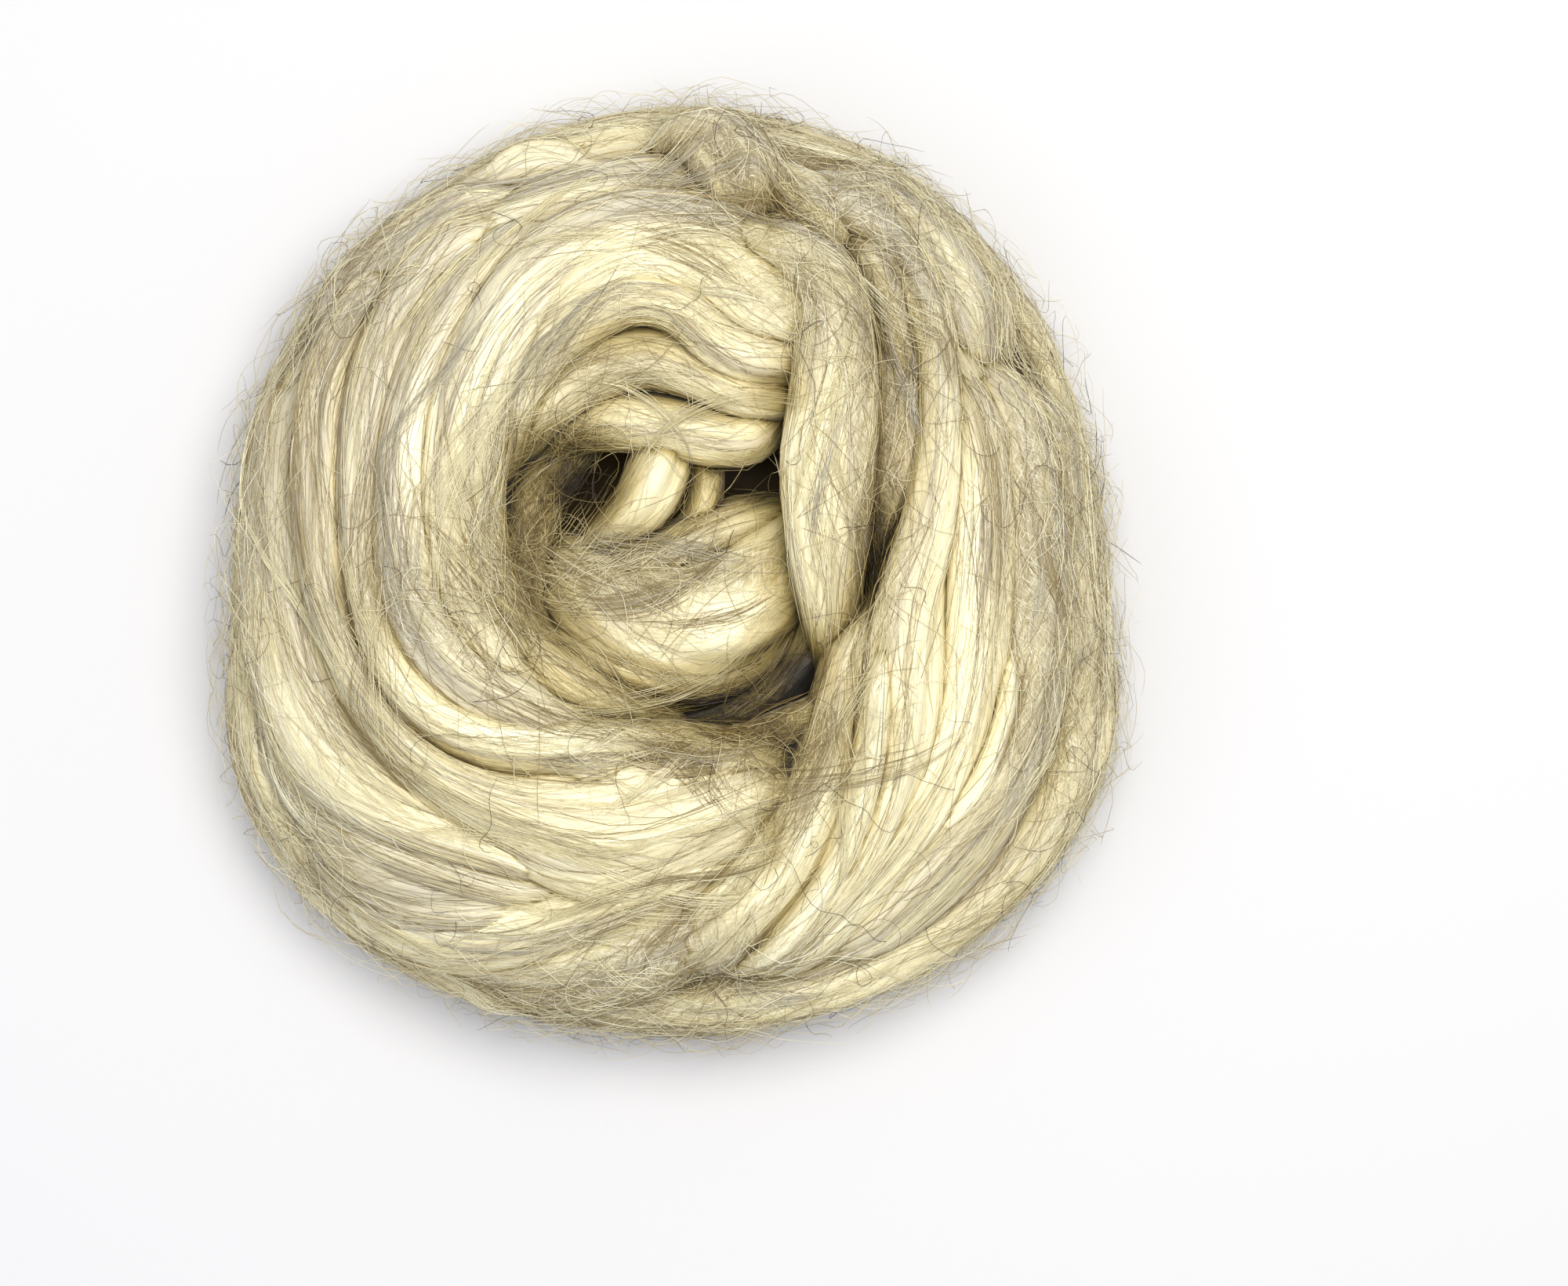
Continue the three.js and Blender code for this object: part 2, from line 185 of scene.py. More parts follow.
# The strands that show from above, laid over the wound form. Each column is a point on the strand's middle
# line, with its width as seen from above. lift is how far its top stands off the form.
overStrands = {
    "bandOuter": {"group": "leftTurns", "thickness": 14, "twist": 40, "tan": [0.7, 0.5, 0.3, 0.15, 0.1],
                  "grey": [0.6, 0.6, 0.5, 0.2, 0.1], "silkAndPaintedHighlight": [0, 0.1, 0.2, 0.5, 0.6, 0.3],
                  "x": [-84, -98, -105, -106.5, -104, -98, -89, -75, -58, -42, -28, -12, 4],
                  "y": [80, 62, 40, 15, -8, -30, -47, -58, -65, -71, -77, -81, -82],
                  "width": [8, 11, 12, 12, 13, 15, 17, 15, 13, 11, 9, 8, 6], "lift": [0, 1, 2, 2, 1, -3, -9]},
    "rimLeft": {"group": "leftTurns", "thickness": 14, "twist": -30, "tan": 0.35,
                "grey": [0.4, 0.6, 0.6, 0.4],
                "x": [-104, -111, -111, -106, -97, -84, -70, -55, -40, -26, -12, 2],
                "y": [45, 15, -15, -42, -58, -67, -73, -78, -82, -84, -84, -83],
                "width": [6, 7, 8, 12, 15, 14, 14, 13, 11, 9, 7, 6], "lift": [-2, -2, -1, -1, -1, -3, -9]},
    "lowerGrey": {"group": "leftTurns", "thickness": 13, "twist": 30, "tan": 0.4, "grey": 0.7,
                  "x": [-113, -109, -101, -88, -72, -56, -41, -26, -12, 2],
                  "y": [-34, -52, -68, -80, -86, -88, -88, -86, -84, -82],
                  "width": [6, 9, 12, 14, 14, 12, 10, 9, 8, 6], "lift": [-3, -1, 0, -3, -9]},
    "lowerLobe": {"group": "leftTurns", "thickness": 16, "twist": 35, "tan": [0.1, 0, 0.1, 0.3],
                  "silkAndPaintedHighlight": [0.3, 0.5, 0.6, 0.4, 0.2],
                  "x": [-108, -102, -92, -78, -62, -45, -28, -12, 4, 19, 32, 46],
                  "y": [-54, -68, -82, -92, -97, -96.5, -91.5, -85, -79, -72, -66, -60],
                  "width": [7, 9, 12, 15, 16, 16, 14, 13, 12, 11, 10, 8], "lift": [-3, -1, 1, 1, -1, -9]},
    "bottomTangle": {"group": "leftTurns", "thickness": 13, "twist": 50, "tan": 1.0, "grey": 0.6,
                     "x": [-96, -84, -68, -51, -34, -18, -3, 10, 21, 30],
                     "y": [-77, -90, -101, -107, -106.5, -102.5, -96, -87, -77, -66],
                     "width": [5, 6, 7, 10, 13, 15, 16, 15, 12, 9], "lift": [-4, -3, 0, 1, 1, -4]},
    "belly": {"group": "leftTurns", "thickness": 16, "twist": -25,
              "tan": [0.8, 0.7, 0.4, 0.15, 0.1, 0.1, 0.2],
              "grey": [0.4, 0.3, 0.3, 0.1, 0], "silkAndPaintedHighlight": [0, 0, 0.1, 0.3, 0.4, 0.3],
              "x": [-44, -62, -79, -89, -92, -91, -86, -76, -62, -46, -28, -10, 8, 24, 40, 58, 76],
              "y": [98, 88, 72, 52, 30, 8, -14, -34, -49, -58, -64, -66, -62, -57, -53, -50, -50],
              "width": [7, 9, 10, 12, 12, 12, 11, 11, 13, 17, 24, 27, 24, 20, 18, 15, 12],
              "lift": [1, 2, 2, 2, 3, 3, 2, -2, -12]},
    "brightBand": {"group": "leftTurns", "thickness": 13, "twist": 20, "tan": [0.5, 0.4, 0.4, 0.2, 0.05],
                   "grey": [0.8, 0.8, 0.6, 0.2, 0, 0], "silkAndPaintedHighlight": [0, 0, 0.1, 0.7, 0.8, 0.6],
                   "x": [-18, -40, -58, -70, -77, -80, -79, -74, -64, -50, -33, -15, 3, 18, 34, 52, 70],
                   "y": [103, 95, 84, 68, 48, 25, 2, -19, -33, -41, -43.5, -42.5, -43, -46, -48, -50, -52],
                   "width": [8, 10, 11, 12, 12, 11, 9, 9, 9.5, 9.5, 9.5, 10, 11, 12, 12, 11, 8],
                   "lift": [1, 2, 2, 2, 3, 3, 1, -2, -13]},
    "creamBand": {"group": "leftTurns", "thickness": 14, "twist": -20, "tan": [0.3, 0.4, 0.5, 0.4, 0.2],
                  "grey": [0.8, 0.8, 0.6, 0.3, 0.1], "silkAndPaintedHighlight": [0, 0.2, 0.3, 0.3],
                  "x": [-4, -26, -45, -58, -66, -69, -67, -61, -50, -36, -22, -8, 8, 24],
                  "y": [101, 95, 83, 67, 46, 24, 2, -14, -27, -34, -38, -40, -42, -45],
                  "width": [8, 11, 12, 13, 13, 13, 14, 15, 15, 13, 10, 8, 7, 6],
                  "lift": [0, 2, 2, 2, 1, -2, -9]},
    "silkBand": {"group": "leftTurns", "thickness": 13, "twist": 15, "tan": [0.1, 0.2, 0.4, 0.4],
                 "silkAndPaintedHighlight": 0.4,
                 "x": [-8, -26, -40, -50, -57, -59, -58, -53, -43, -31, -18, -4],
                 "y": [96, 89, 78, 64, 46, 26, 6, -10, -23, -31, -36, -39],
                 "width": [6, 8, 9, 10, 10, 10, 10, 11, 12, 11, 8, 6], "lift": [-1, 1, 1, 1, -1, -6]},
    "tanBundle": {"group": "leftTurns", "thickness": 13, "twist": 200, "tan": 1.0, "grey": 0.3,
                  "x": [-109, -99, -87, -74, -60, -45, -30, -14], "y": [40, 59, 71, 82, 92, 99, 104, 107],
                  "width": [6, 8, 10, 11, 10, 9, 8, 7], "lift": [1, 3, 3, 2, 0]},
    "topRibbon": {"group": "leftTurns", "thickness": 13, "twist": 25, "tan": 0.1, "grey": 0.2, "silkAndPaintedHighlight": 0.3,
                  "x": [-76, -63, -48, -30, -10, 6], "y": [88, 98, 106.5, 112, 114, 112],
                  "width": [5, 7, 8, 9, 9, 7], "lift": [-1, 1, 1, 0]},
    "paleKnot": {"group": "leftTurns", "thickness": 14, "twist": 90, "grey": 0.5, "silkAndPaintedHighlight": 0.2,
                 "x": [-52, -44, -36, -29, -22], "y": [98, 101.5, 102.5, 100, 96], "width": [6, 10, 11, 9, 5],
                 "lift": [-1, 3, 3, -1]},
    "greyTop": {"group": "leftTurns", "thickness": 12, "twist": 30, "tan": 0.35, "grey": 0.9,
                "x": [-88, -72, -56, -38, -18, 2, 22, 42, 58, 70],
                "y": [66, 80, 89, 96, 101, 103, 102, 94, 82, 66],
                "width": [8, 10, 11, 12, 13, 15, 16, 15, 13, 10], "lift": [-4, -1, 0, 0, -2]},
    "backGrey": {"group": "rightTurns", "thickness": 13, "twist": 25, "tan": 0.4, "grey": 0.9,
                 "x": [10, 26, 42, 56, 69, 80, 89, 95], "y": [113, 111, 106, 98, 86, 72, 55, 38],
                 "width": [9, 12, 13, 14, 14, 13, 12, 10], "lift": [0, 1, 1, 0]},
    "smoothRight": {"group": "rightTurns", "thickness": 14, "twist": -20,
                    "tan": [0.3, 0.1, 0.1, 0.1, 0.2, 0.3],
                    "grey": [0.5, 0.1, 0.1, 0.1, 0.2], "silkAndPaintedHighlight": [0, 0.3, 0.5, 0.6, 0.4],
                    "x": [30, 43, 54, 63, 68, 69.5, 69, 66, 62, 61, 60.5, 56, 48, 37, 23, 8],
                    "y": [104, 99, 91, 78, 62, 45, 28, 10, -5, -22, -40, -58, -74, -88, -100, -111],
                    "width": [7, 8, 8, 8, 8, 8, 9, 11, 12, 13, 12, 10, 9, 9, 9, 7],
                    "lift": [1, 2, 3, 3, 2, 0]},
    "silkRight": {"group": "rightTurns", "thickness": 12, "twist": 15, "tan": 0, "silkAndPaintedHighlight": 1.0,
                  "x": [59, 56, 53.5, 51.5, 48, 43, 35.5, 25.5, 12, -3],
                  "y": [12, -6, -25, -44, -60, -74, -86, -97, -106, -113],
                  "width": [4, 5.5, 7.5, 9, 10, 10, 8.5, 7, 6, 5], "lift": [1, 4, 4, 4, 2]},
    "edgeRight": {"group": "rightTurns", "thickness": 14, "twist": 20, "tan": [0.7, 0.4, 0.15, 0.2, 0.3],
                  "grey": 0.1, "silkAndPaintedHighlight": [0, 0.1, 0.5, 0.3, 0.1],
                  "x": [51, 47, 44, 40.5, 36, 29, 20, 9, -5, -20],
                  "y": [14, -8, -28, -44, -58, -72, -84, -95, -105, -114],
                  "width": [7, 9, 11, 14, 16, 16, 15, 15, 12, 9], "lift": [-3, 0, 3, 4, 3, 1, -3]},
    "broadRight": {"group": "rightTurns", "thickness": 14, "twist": -20, "tan": [0.6, 0.5, 0.2, 0.1, 0.1],
                   "grey": [0.3, 0.1, 0.1, 0.1, 0.2], "silkAndPaintedHighlight": [0, 0.2, 0.8, 0.8, 0.5],
                   "x": [70, 76, 79, 80, 80, 79, 75, 67, 57, 45, 32, 16, 0],
                   "y": [76, 58, 40, 20, 0, -20, -40, -57, -71, -84, -96, -107, -115],
                   "width": [8, 11, 13, 14, 14, 14, 14, 14, 13, 13, 12, 11, 8], "lift": [0, 2, 2, 2, 1]},
    "silkThread": {"group": "rightTurns", "thickness": 7, "twist": 10, "silkAndPaintedHighlight": 1.0,
                   "x": [88, 88, 86, 81, 73, 63, 52], "y": [8, -12, -30, -46, -60, -74, -87],
                   "width": [2.5, 3.5, 4, 4, 4, 3.5, 3], "lift": [1, 3, 3, 2]},
    "fuzzyRight": {"group": "rightTurns", "thickness": 13, "twist": 30, "tan": [0.4, 0.3, 0.25, 0.2, 0.1],
                   "grey": [0.5, 0.5, 0.5, 0.6, 0.5],
                   "x": [76, 86, 92, 96, 97, 97, 94, 87, 77, 65, 52, 36, 20],
                   "y": [78, 64, 46, 26, 6, -14, -34, -52, -68, -82, -94, -105, -114],
                   "width": [9, 11, 12, 13, 14, 14, 14, 14, 15, 14, 12, 10, 7], "lift": [-1, 0, 1, 1, 0]},
    "rimRight": {"group": "rightTurns", "thickness": 13, "twist": -30, "tan": [0.3, 0.2, 0.15, 0.2],
                 "grey": [0.6, 0.5, 0.4, 0.4],
                 "x": [88, 97, 104, 108, 109, 107, 103, 96], "y": [76, 58, 38, 16, -8, -30, -46, -58],
                 "width": [8, 9, 9, 9, 9, 9, 9, 8], "lift": [-1, 0, 0, -2]},
    "smoothRim": {"group": "rightTurns", "thickness": 14, "twist": 15, "tan": 0.35, "grey": 0.1,
                  "x": [108, 106, 100, 90, 76, 60, 44], "y": [-40, -58, -74, -87, -97, -104, -109],
                  "width": [5, 8, 11, 12, 11, 10, 7], "lift": [-3, -2, -2, -3]},
    "greyValley": {"group": "rightTurns", "thickness": 12, "twist": 30, "tan": 0.7, "grey": 0.5,
                   "x": [44, 52, 57, 57, 55, 52, 48], "y": [84, 68, 48, 30, 14, 0, -14],
                   "width": [12, 15, 17, 17, 15, 12, 9], "lift": [0, -1, -3, -4, -7]},
}

# Each column is a point on the fold's middle line: where it is, how high its top lies there, how wide it is.
folds = {
    "arch": {"thickness": 18, "ridge": 0.35, "twist": 40,
             "x": [30, 15, -6, -26, -41, -50, -53, -50, -41, -26, -9, 8],
             "y": [77, 83, 85, 78, 62, 42, 20, 0, -17, -29, -36, -40],
             "top": [62, 67, 69, 69, 70, 70, 68, 65, 62, 59, 55, 48],
             "width": [14, 22, 25, 25, 23, 22, 22, 21, 18, 16, 13, 8]},
    "archWeb": {"thickness": 15, "ridge": 0.3, "twist": 20,
                "x": [-42, -30, -10, 8, 20, 33, 48], "y": [50, 68, 79, 77, 70, 65, 58],
                "top": [60, 68, 70, 70, 70, 69, 60], "width": [12, 16, 20, 22, 24, 20, 12]},
    "innerArch": {"thickness": 16, "ridge": 0.35, "twist": 60,
                  "x": [-47, -42, -33, -20, -8, 4, 13, 22, 33, 46],
                  "y": [20, 40, 57, 67, 71, 68, 60, 56, 56, 56],
                  "top": [56, 64, 68, 70, 71, 71, 70, 69, 66, 58],
                  "width": [12, 15, 17, 17, 15, 15, 16, 16, 15, 11]},
    "tanFold": {"thickness": 15, "ridge": 0.6, "twist": 25,
                "x": [-42, -34, -20, -5, 8, 20, 36], "y": [26, 42, 53, 56, 51, 46, 46],
                "top": [48, 59, 63, 64, 64, 65, 62], "width": [12, 16, 18, 17, 15, 14, 12]},
    "brightFold": {"thickness": 15, "ridge": 0.5, "twist": 30,
                   "x": [-38, -26, -14, 0, 11, 20, 29], "y": [27, 38, 40, 38, 36, 36, 43],
                   "top": [42, 53, 58, 60, 60, 60, 59], "width": [11, 14, 15, 15, 15, 14, 12]},
    "valleyStrand": {"thickness": 14, "twist": 20, "tan": 0.8, "grey": 0.3,
                     "x": [46, 55, 58, 57.5, 55, 52], "y": [88, 70, 52, 34, 16, -2],
                     "top": [58, 60, 61, 61, 60, 57], "width": [12, 16, 17, 16, 14, 10]},
    "pocketSide": {"thickness": 20, "tan": 0.5, "twist": 20,
                   "x": [-28, -37, -40, -35, -22, -4, 16], "y": [37, 20, 2, -14, -27, -34, -38],
                   "top": [40, 54, 56, 54, 48, 43, 38], "width": [14, 17, 17, 18, 18, 16, 14]},
    "sideStrand": {"thickness": 10, "twist": 20,
                   "x": [6, 9.5, 9, 5, -4], "y": [35, 27, 20, 13, 9],
                   "top": [44, 50, 51, 48, 42], "width": [6, 7, 7, 6, 5]},
    "knob": {"thickness": 18, "ridge": 0.7, "twist": 35,
             "x": [0, -1.5, -3.5, -7.5, -14, -25], "y": [44, 36, 27, 19, 13, 7],
             "top": [46, 55, 60, 59, 53, 40], "width": [12, 15, 16.5, 16, 12, 8]},
    "bunLower": {"thickness": 18, "twist": 25,
                 "x": [-36, -25, -9, 8, 22, 31], "y": [-1, -15, -23, -25, -19, -4],
                 "top": [42, 51, 54, 54, 51, 44], "width": [13, 16, 17, 17, 16, 13]},
    "bunUpper": {"thickness": 18, "twist": 25,
                 "x": [-40, -29, -8, 8, 20, 34], "y": [8, 4, 2, 9, 14, 18],
                 "top": [38, 48, 53, 54, 52, 42], "width": [10, 15, 16, 15, 14, 12]},
    "bunUnder": {"thickness": 36, "twist": 0,
                 "x": [-28, -10, 8, 26], "y": [-6, -8, -6, 2],
                 "top": [36, 40, 40, 36], "width": [34, 42, 42, 34]},
    "bun": {"thickness": 28, "ridge": 0.6, "twist": 290,
            "x": [-40, -24, -4, 12, 24, 36], "y": [5, -6, -11.5, -8.5, 1, 15],
            "top": [42, 54, 60, 61, 57, 44], "width": [16, 26, 33, 33, 28, 18]},
    "hangingStrand": {"thickness": 19, "ridge": 0.4, "twist": 20,
                      "x": [10, 26, 37, 41.5, 42, 40.5, 40, 40.5, 41, 41],
                      "y": [85, 83, 75, 60, 44, 28, 12, -3, -16, -25],
                      "top": [60, 68, 71, 74, 75, 75, 73, 68, 59, 48],
                      "width": [14, 17, 20, 21, 23, 25, 22, 17, 12, 8]},
    "tuft": {"thickness": 15, "ridge": 1.3, "twist": 60, "tan": 1.0, "grey": 0.5,
             "x": [24, 21, 17, 10, 3, 0], "y": [82, 93, 104, 110, 108, 100],
             "top": [60, 62, 60, 56, 49, 42], "width": [16, 21, 22, 20, 16, 12]},
}

# Turns that only show in the gaps between the others: the hollow's wall and the valley beside the bun.
innerTurns = {
    "wallMiddle": {"angle": (165, 318), "lift": -1, "thickness": 13, "twist": 60,
                   "width": [13, 18, 18, 14], "roll": [-44, -42, -44, -42]},
    "wallDeep": {"angle": (80, 425), "lift": 2, "thickness": 13, "twist": -50,
                 "width": [15, 18, 19, 17, 14], "roll": [-62, -60, -64, -62, -60]},
    "wallLower": {"angle": (196, 352), "lift": 1, "thickness": 12, "twist": 30,
                  "width": [12, 16, 16, 12], "roll": [-28, -30, -24, -16]},
    "crestLower": {"angle": (256, 344), "lift": -18, "thickness": 12, "twist": 25, "tan": 1.0,
                   "width": [12, 18, 18, 13], "roll": [-8, -4, 0, 6]},
    "crestGap": {"angle": (262, 352), "lift": -15, "thickness": 12, "twist": -20, "tan": 1.0,
                 "width": [12, 18, 18, 12], "roll": [14, 12, 10, 4]},
}


def rowsOf(points):
    # Turns lists of x, y and z into one row for each point.
    return np.moveaxis(np.asarray(points, float), 0, -1)


def unit(vectors):
    return vectors / np.maximum(np.linalg.norm(vectors, axis=-1, keepdims=True), 1e-9)


def runAlong(line):
    # The way a line runs at each of its points.
    return unit(np.concatenate((line[..., 1:2, :] - line[..., :1, :], line[..., 2:, :] - line[..., :-2, :],
                                line[..., -1:, :] - line[..., -2:-1, :]), axis=-2))


def walkedAlong(line):
    # How far along a line each of its points is.
    return np.concatenate(([0], np.cumsum(np.linalg.norm(np.diff(line, axis=0), axis=1))))


def smoothValue(values, t):
    # A smooth line through evenly spaced values, at t from 0 to 1.
    values = np.asarray(values, float)
    at = np.clip(t, 0, 1) * (len(values) - 1)
    i = np.minimum(np.floor(at).astype(int), len(values) - 2)
    a, b, c, d = (values[np.clip(i + k, 0, len(values) - 1)] for k in (-1, 0, 1, 2))
    u = at - i
    return b + 0.5 * u * (c - a + u * (2 * a - 5 * b + 4 * c - d + u * (3 * (b - c) + d - a)))


def smoothStep(x, start, end):
    # Rises smoothly from 0 at start to 1 at end.
    u = np.clip((x - start) / (end - start), 0, 1)
    return u * u * (3 - 2 * u)


def outlineRadius(angle):
    # The outline's radius at an angle, smooth through the radii round it.
    radii = nestForm["outlineRadii"]
    wrapped = radii[-1:] + radii + radii[:2]
    return smoothValue(wrapped, (np.mod(angle, 360) / 360 * len(radii) + 1) / (len(wrapped) - 1))


def formPoint(angle, roll):
    # The ring's section is made of quarter ovals: down into the hollow, out to the widest line, and under.
    f = nestForm
    s, c = np.sin(np.radians(roll)), np.cos(np.radians(roll))
    outer = outlineRadius(angle)
    hollow, under = roll < 0, roll > 90
    reach = np.where(hollow, f["crestRadius"] - f["pocketRadius"],
                     np.where(under, outer - f["baseRadius"], outer - f["crestRadius"]))
    radius = np.where(under, f["baseRadius"], f["crestRadius"]) + reach * s
    start = np.where(hollow, f["pocketFloor"], f["widestHeight"])
    rise = np.where(hollow, f["crestHeight"] - f["pocketFloor"],
                    np.where(under, f["widestHeight"] + f["baseSink"], f["crestHeight"] - f["widestHeight"]))
    turn = np.radians(angle)
    return rowsOf((radius * np.cos(turn), radius * np.sin(turn), start + rise * c))


def formNormal(angle, roll):
    # The way straight out of the form.
    along = formPoint(angle + 0.5, roll) - formPoint(angle - 0.5, roll)
    around = formPoint(angle, roll + 0.5) - formPoint(angle, roll - 0.5)
    return unit(np.cross(around, along))


def turnLine(turn, spacing):
    # A turn that goes round the form at its own angles. Its length is roughly told, to space its sections.
    start, end = turn["angle"]
    radius = float(outlineRadius(np.array(start))) * strandShape["turnRadius"]
    length = math.radians(abs(end - start)) * radius
    t = np.linspace(0, 1, math.ceil(length / spacing) + 1)
    angle = start + (end - start) * t
    roll = smoothValue(turn["roll"], t)
    out = formNormal(angle, roll)
    point = formPoint(angle, roll) + out * (turn["lift"] - turn["thickness"] / 2)
    return point, out, smoothValue(turn["width"], t)


def evenCurve(knots, spacing):
    # A centripetal curve through the knots, walked at an even pace. Also gives each stop's share of the way.
    wide = np.vstack((2 * knots[0] - knots[1], knots, 2 * knots[-1] - knots[-2]))
    finely = 60  # points between two knots, to walk along
    t = np.linspace(0, len(knots) - 1, finely * (len(knots) - 1) + 1)
    i = np.minimum(t.astype(int), len(knots) - 2)
    u = (t - i)[:, None]
    p0, p1, p2, p3 = (wide[i + k] for k in range(4))
    d0, d1, d2 = (np.sqrt(np.linalg.norm(b - a, axis=1))[:, None] for a, b in ((p0, p1), (p1, p2), (p2, p3)))
    m1 = ((p1 - p0) / d0 - (p2 - p0) / (d0 + d1) + (p2 - p1) / d1) * d1
    m2 = ((p2 - p1) / d1 - (p3 - p1) / (d1 + d2) + (p3 - p2) / d2) * d1
    line = (p1 + u * m1 + u * u * (3 * (p2 - p1) - 2 * m1 - m2) + u ** 3 * (2 * (p1 - p2) + m1 + m2))
    walked = walkedAlong(line)
    stops = np.linspace(0, walked[-1], math.ceil(walked[-1] / spacing) + 1)
    point = rowsOf([np.interp(stops, walked, line[:, k]) for k in range(3)])
    return point, np.interp(stops, walked, t) / (len(knots) - 1)


def foldLine(fold, spacing):
    # A fold lies at the heights it is given, whatever the form does.
    height = np.array(fold["top"]) - fold["thickness"] / 2
    point, share = evenCurve(rowsOf((fold["x"], fold["y"], height)), spacing)
    return point, np.tile((0.0, 0.0, 1.0), (len(point), 1)), smoothValue(fold["width"], share)


def overLine(strand, spacing):
    # Lays a line drawn from above onto the wound form.
    plan, share = evenCurve(rowsOf((strand["x"], strand["y"], np.zeros(len(strand["x"])))), spacing)
    angle, radius = np.degrees(np.arctan2(plan[:, 1], plan[:, 0])), np.hypot(plan[:, 0], plan[:, 1])
    crest = nestForm["crestRadius"]
    outside = np.clip((radius - crest) / (outlineRadius(angle) - crest), 0, strandShape["furthestOut"])
    inside = np.clip((crest - radius) / (crest - nestForm["pocketRadius"]), 0, strandShape["furthestIn"])
    roll = np.degrees(np.arcsin(outside) - np.arcsin(inside))
    out = formNormal(angle, np.maximum(roll, strandShape["innerTilt"]))
    sunk = smoothValue(strand["lift"], share) - strand["thickness"] / 2
    point = formPoint(angle, roll) + out * sunk[:, None]
    width = strandShape["spread"] * smoothValue(strand["width"], share)
    return point, out, width / np.maximum(out[:, 2], strandShape["leastSlope"])


def sectionAngles():
    # Where the points go round a section: close together on its outer half, a few on its buried half.
    edge = strandShape["edge"]
    upper = np.linspace(-edge, math.pi + edge, strandShape["sidesOver"], endpoint=False)
    lower = np.linspace(math.pi + edge, 2 * math.pi - edge, strandShape["sidesUnder"], endpoint=False)
    return np.concatenate((upper, lower))


def laidStrand(name, spec, seed):
    # A strand with its middle line, its directions, its half sizes, its twist and its tones.
    isTurn, isFold = "roll" in spec, "top" in spec
    layLine = turnLine if isTurn else foldLine if isFold else overLine
    point, out, width = layLine(spec, strandShape["foldSpacing" if isFold else "turnSpacing"])
    end = nestForm["foldEnd" if isFold else "turnEnd"]
    along = runAlong(point)
    across = unit(np.cross(out, along))
    up = np.cross(along, across)
    walked = walkedAlong(point)
    full = smoothStep(np.minimum(walked, walked[-1] - walked), 0, end["length"])
    return {
        "name": name, "seed": seed, "walked": walked, "length": walked[-1], "phi": sectionAngles(),
        "along": along, "across": across, "up": up, "full": full,
        "middle": point - up * (end["sink"] * (1 - full))[:, None],
        "halfWidth": 0.5 * width * (end["width"] + (1 - end["width"]) * full),
        "halfThickness": 0.5 * spec["thickness"] * (end["thickness"] + (1 - end["thickness"]) * full),
        "twist": math.radians(spec["twist"]), "ridge": spec.get("ridge", 1.0),
        "fullness": strandShape["foldFullness" if isFold else "turnFullness"],
        "tone": {kind: spec.get(kind, 0.0) for kind in ("tan", "grey", "silkAndPaintedHighlight")},
    }


strands = [laidStrand(name, spec, 11 + 7 * k)
           for k, (name, spec) in enumerate({**turns, **overStrands, **folds, **innerTurns}.items())]


def softNoise(points, seed):
    # Smooth random values from -1 to 1, the same each run: whole numbers are mixed at each corner of a cell.
    cell = np.floor(points).astype(np.int64)
    f = points - cell
    f = f * f * (3 - 2 * f)
    total = np.zeros(points.shape[:-1])
    for dx in (0, 1):
        for dy in (0, 1):
            for dz in (0, 1):
                h = ((cell[..., 0] + dx) * 73856093 ^ (cell[..., 1] + dy) * 19349663
                     ^ (cell[..., 2] + dz) * 83492791 ^ seed * 668265263) & 0xFFFFFFFF
                h = ((h ^ (h >> 13)) * 1274126177) & 0xFFFFFFFF
                h = (h ^ (h >> 16)) & 0xFFFFFFFF
                weight = ((f[..., 0] if dx else 1 - f[..., 0]) * (f[..., 1] if dy else 1 - f[..., 1])
                          * (f[..., 2] if dz else 1 - f[..., 2]))
                total = total + weight * (h / 2147483647.5 - 1)
    return total


# Combing draws the wool into locks. Each row is a size of lock: its width, its length and its height.
locks = [
    {"width": 10.0, "length": 170.0, "height": 2.1},
    {"width": 4.2, "length": 90.0, "height": 0.95},
    {"width": 1.9, "length": 55.0, "height": 0.32},
]
# Crests are round with narrow creases between them. level evens out what the locks add and take away, and a
# strand whose half thickness is less than fullHalf has lower locks.
lockShape = {"crest": 1.6, "creaseWidth": 0.02, "level": 0.85, "fullHalf": 7.0, "least": 0.3, "most": 1.2}
windWander = {"amount": 0.28, "length": 55.0}  # how far the locks stray round their strand, in radians
streakLock = {"width": 4.2, "length": 90.0, "finer": 2.6, "finerShare": 0.6}  # tones change from lock to lock


def windAt(strand, s):
    # How far the locks have wound round the strand at a distance s along it.
    zero = np.zeros_like(s)
    wander = softNoise(np.stack((s / windWander["length"], zero, zero), -1), strand["seed"] + 3)
    return strand["twist"] * s / strand["length"] + windWander["amount"] * wander


def lockHeight(strand, s, phi, halfWidth, halfThickness):
    # How far the locks stand off a strand's plain section.
    turned = phi - windAt(strand, s)
    x, y = halfWidth * np.cos(turned), halfThickness * np.sin(turned)
    height = np.zeros_like(s)
    f = lockShape
    for k, lock in enumerate(locks):
        at = np.stack((x / lock["width"], y / lock["width"], s / lock["length"]), -1)
        apart = 17.3 * k  # so that no size of lock follows another
        ridge = np.abs(softNoise(at + apart, strand["seed"] + k))
        height = height + lock["height"] * (f["crest"] * np.sqrt(ridge + f["creaseWidth"]) - f["level"])
    return height * strand["ridge"] * np.clip(halfThickness / f["fullHalf"], f["least"], f["most"])


def strandAt(strand, s):
    # The strand's middle, its directions, its half sizes and its fullness at a distance s along it.
    walked = strand["walked"]
    lines = [np.stack([np.interp(s, walked, strand[name][:, k]) for k in range(3)], -1)
             for name in ("middle", "across", "up", "along")]
    return lines + [np.interp(s, walked, strand[name]) for name in ("halfWidth", "halfThickness", "full")]


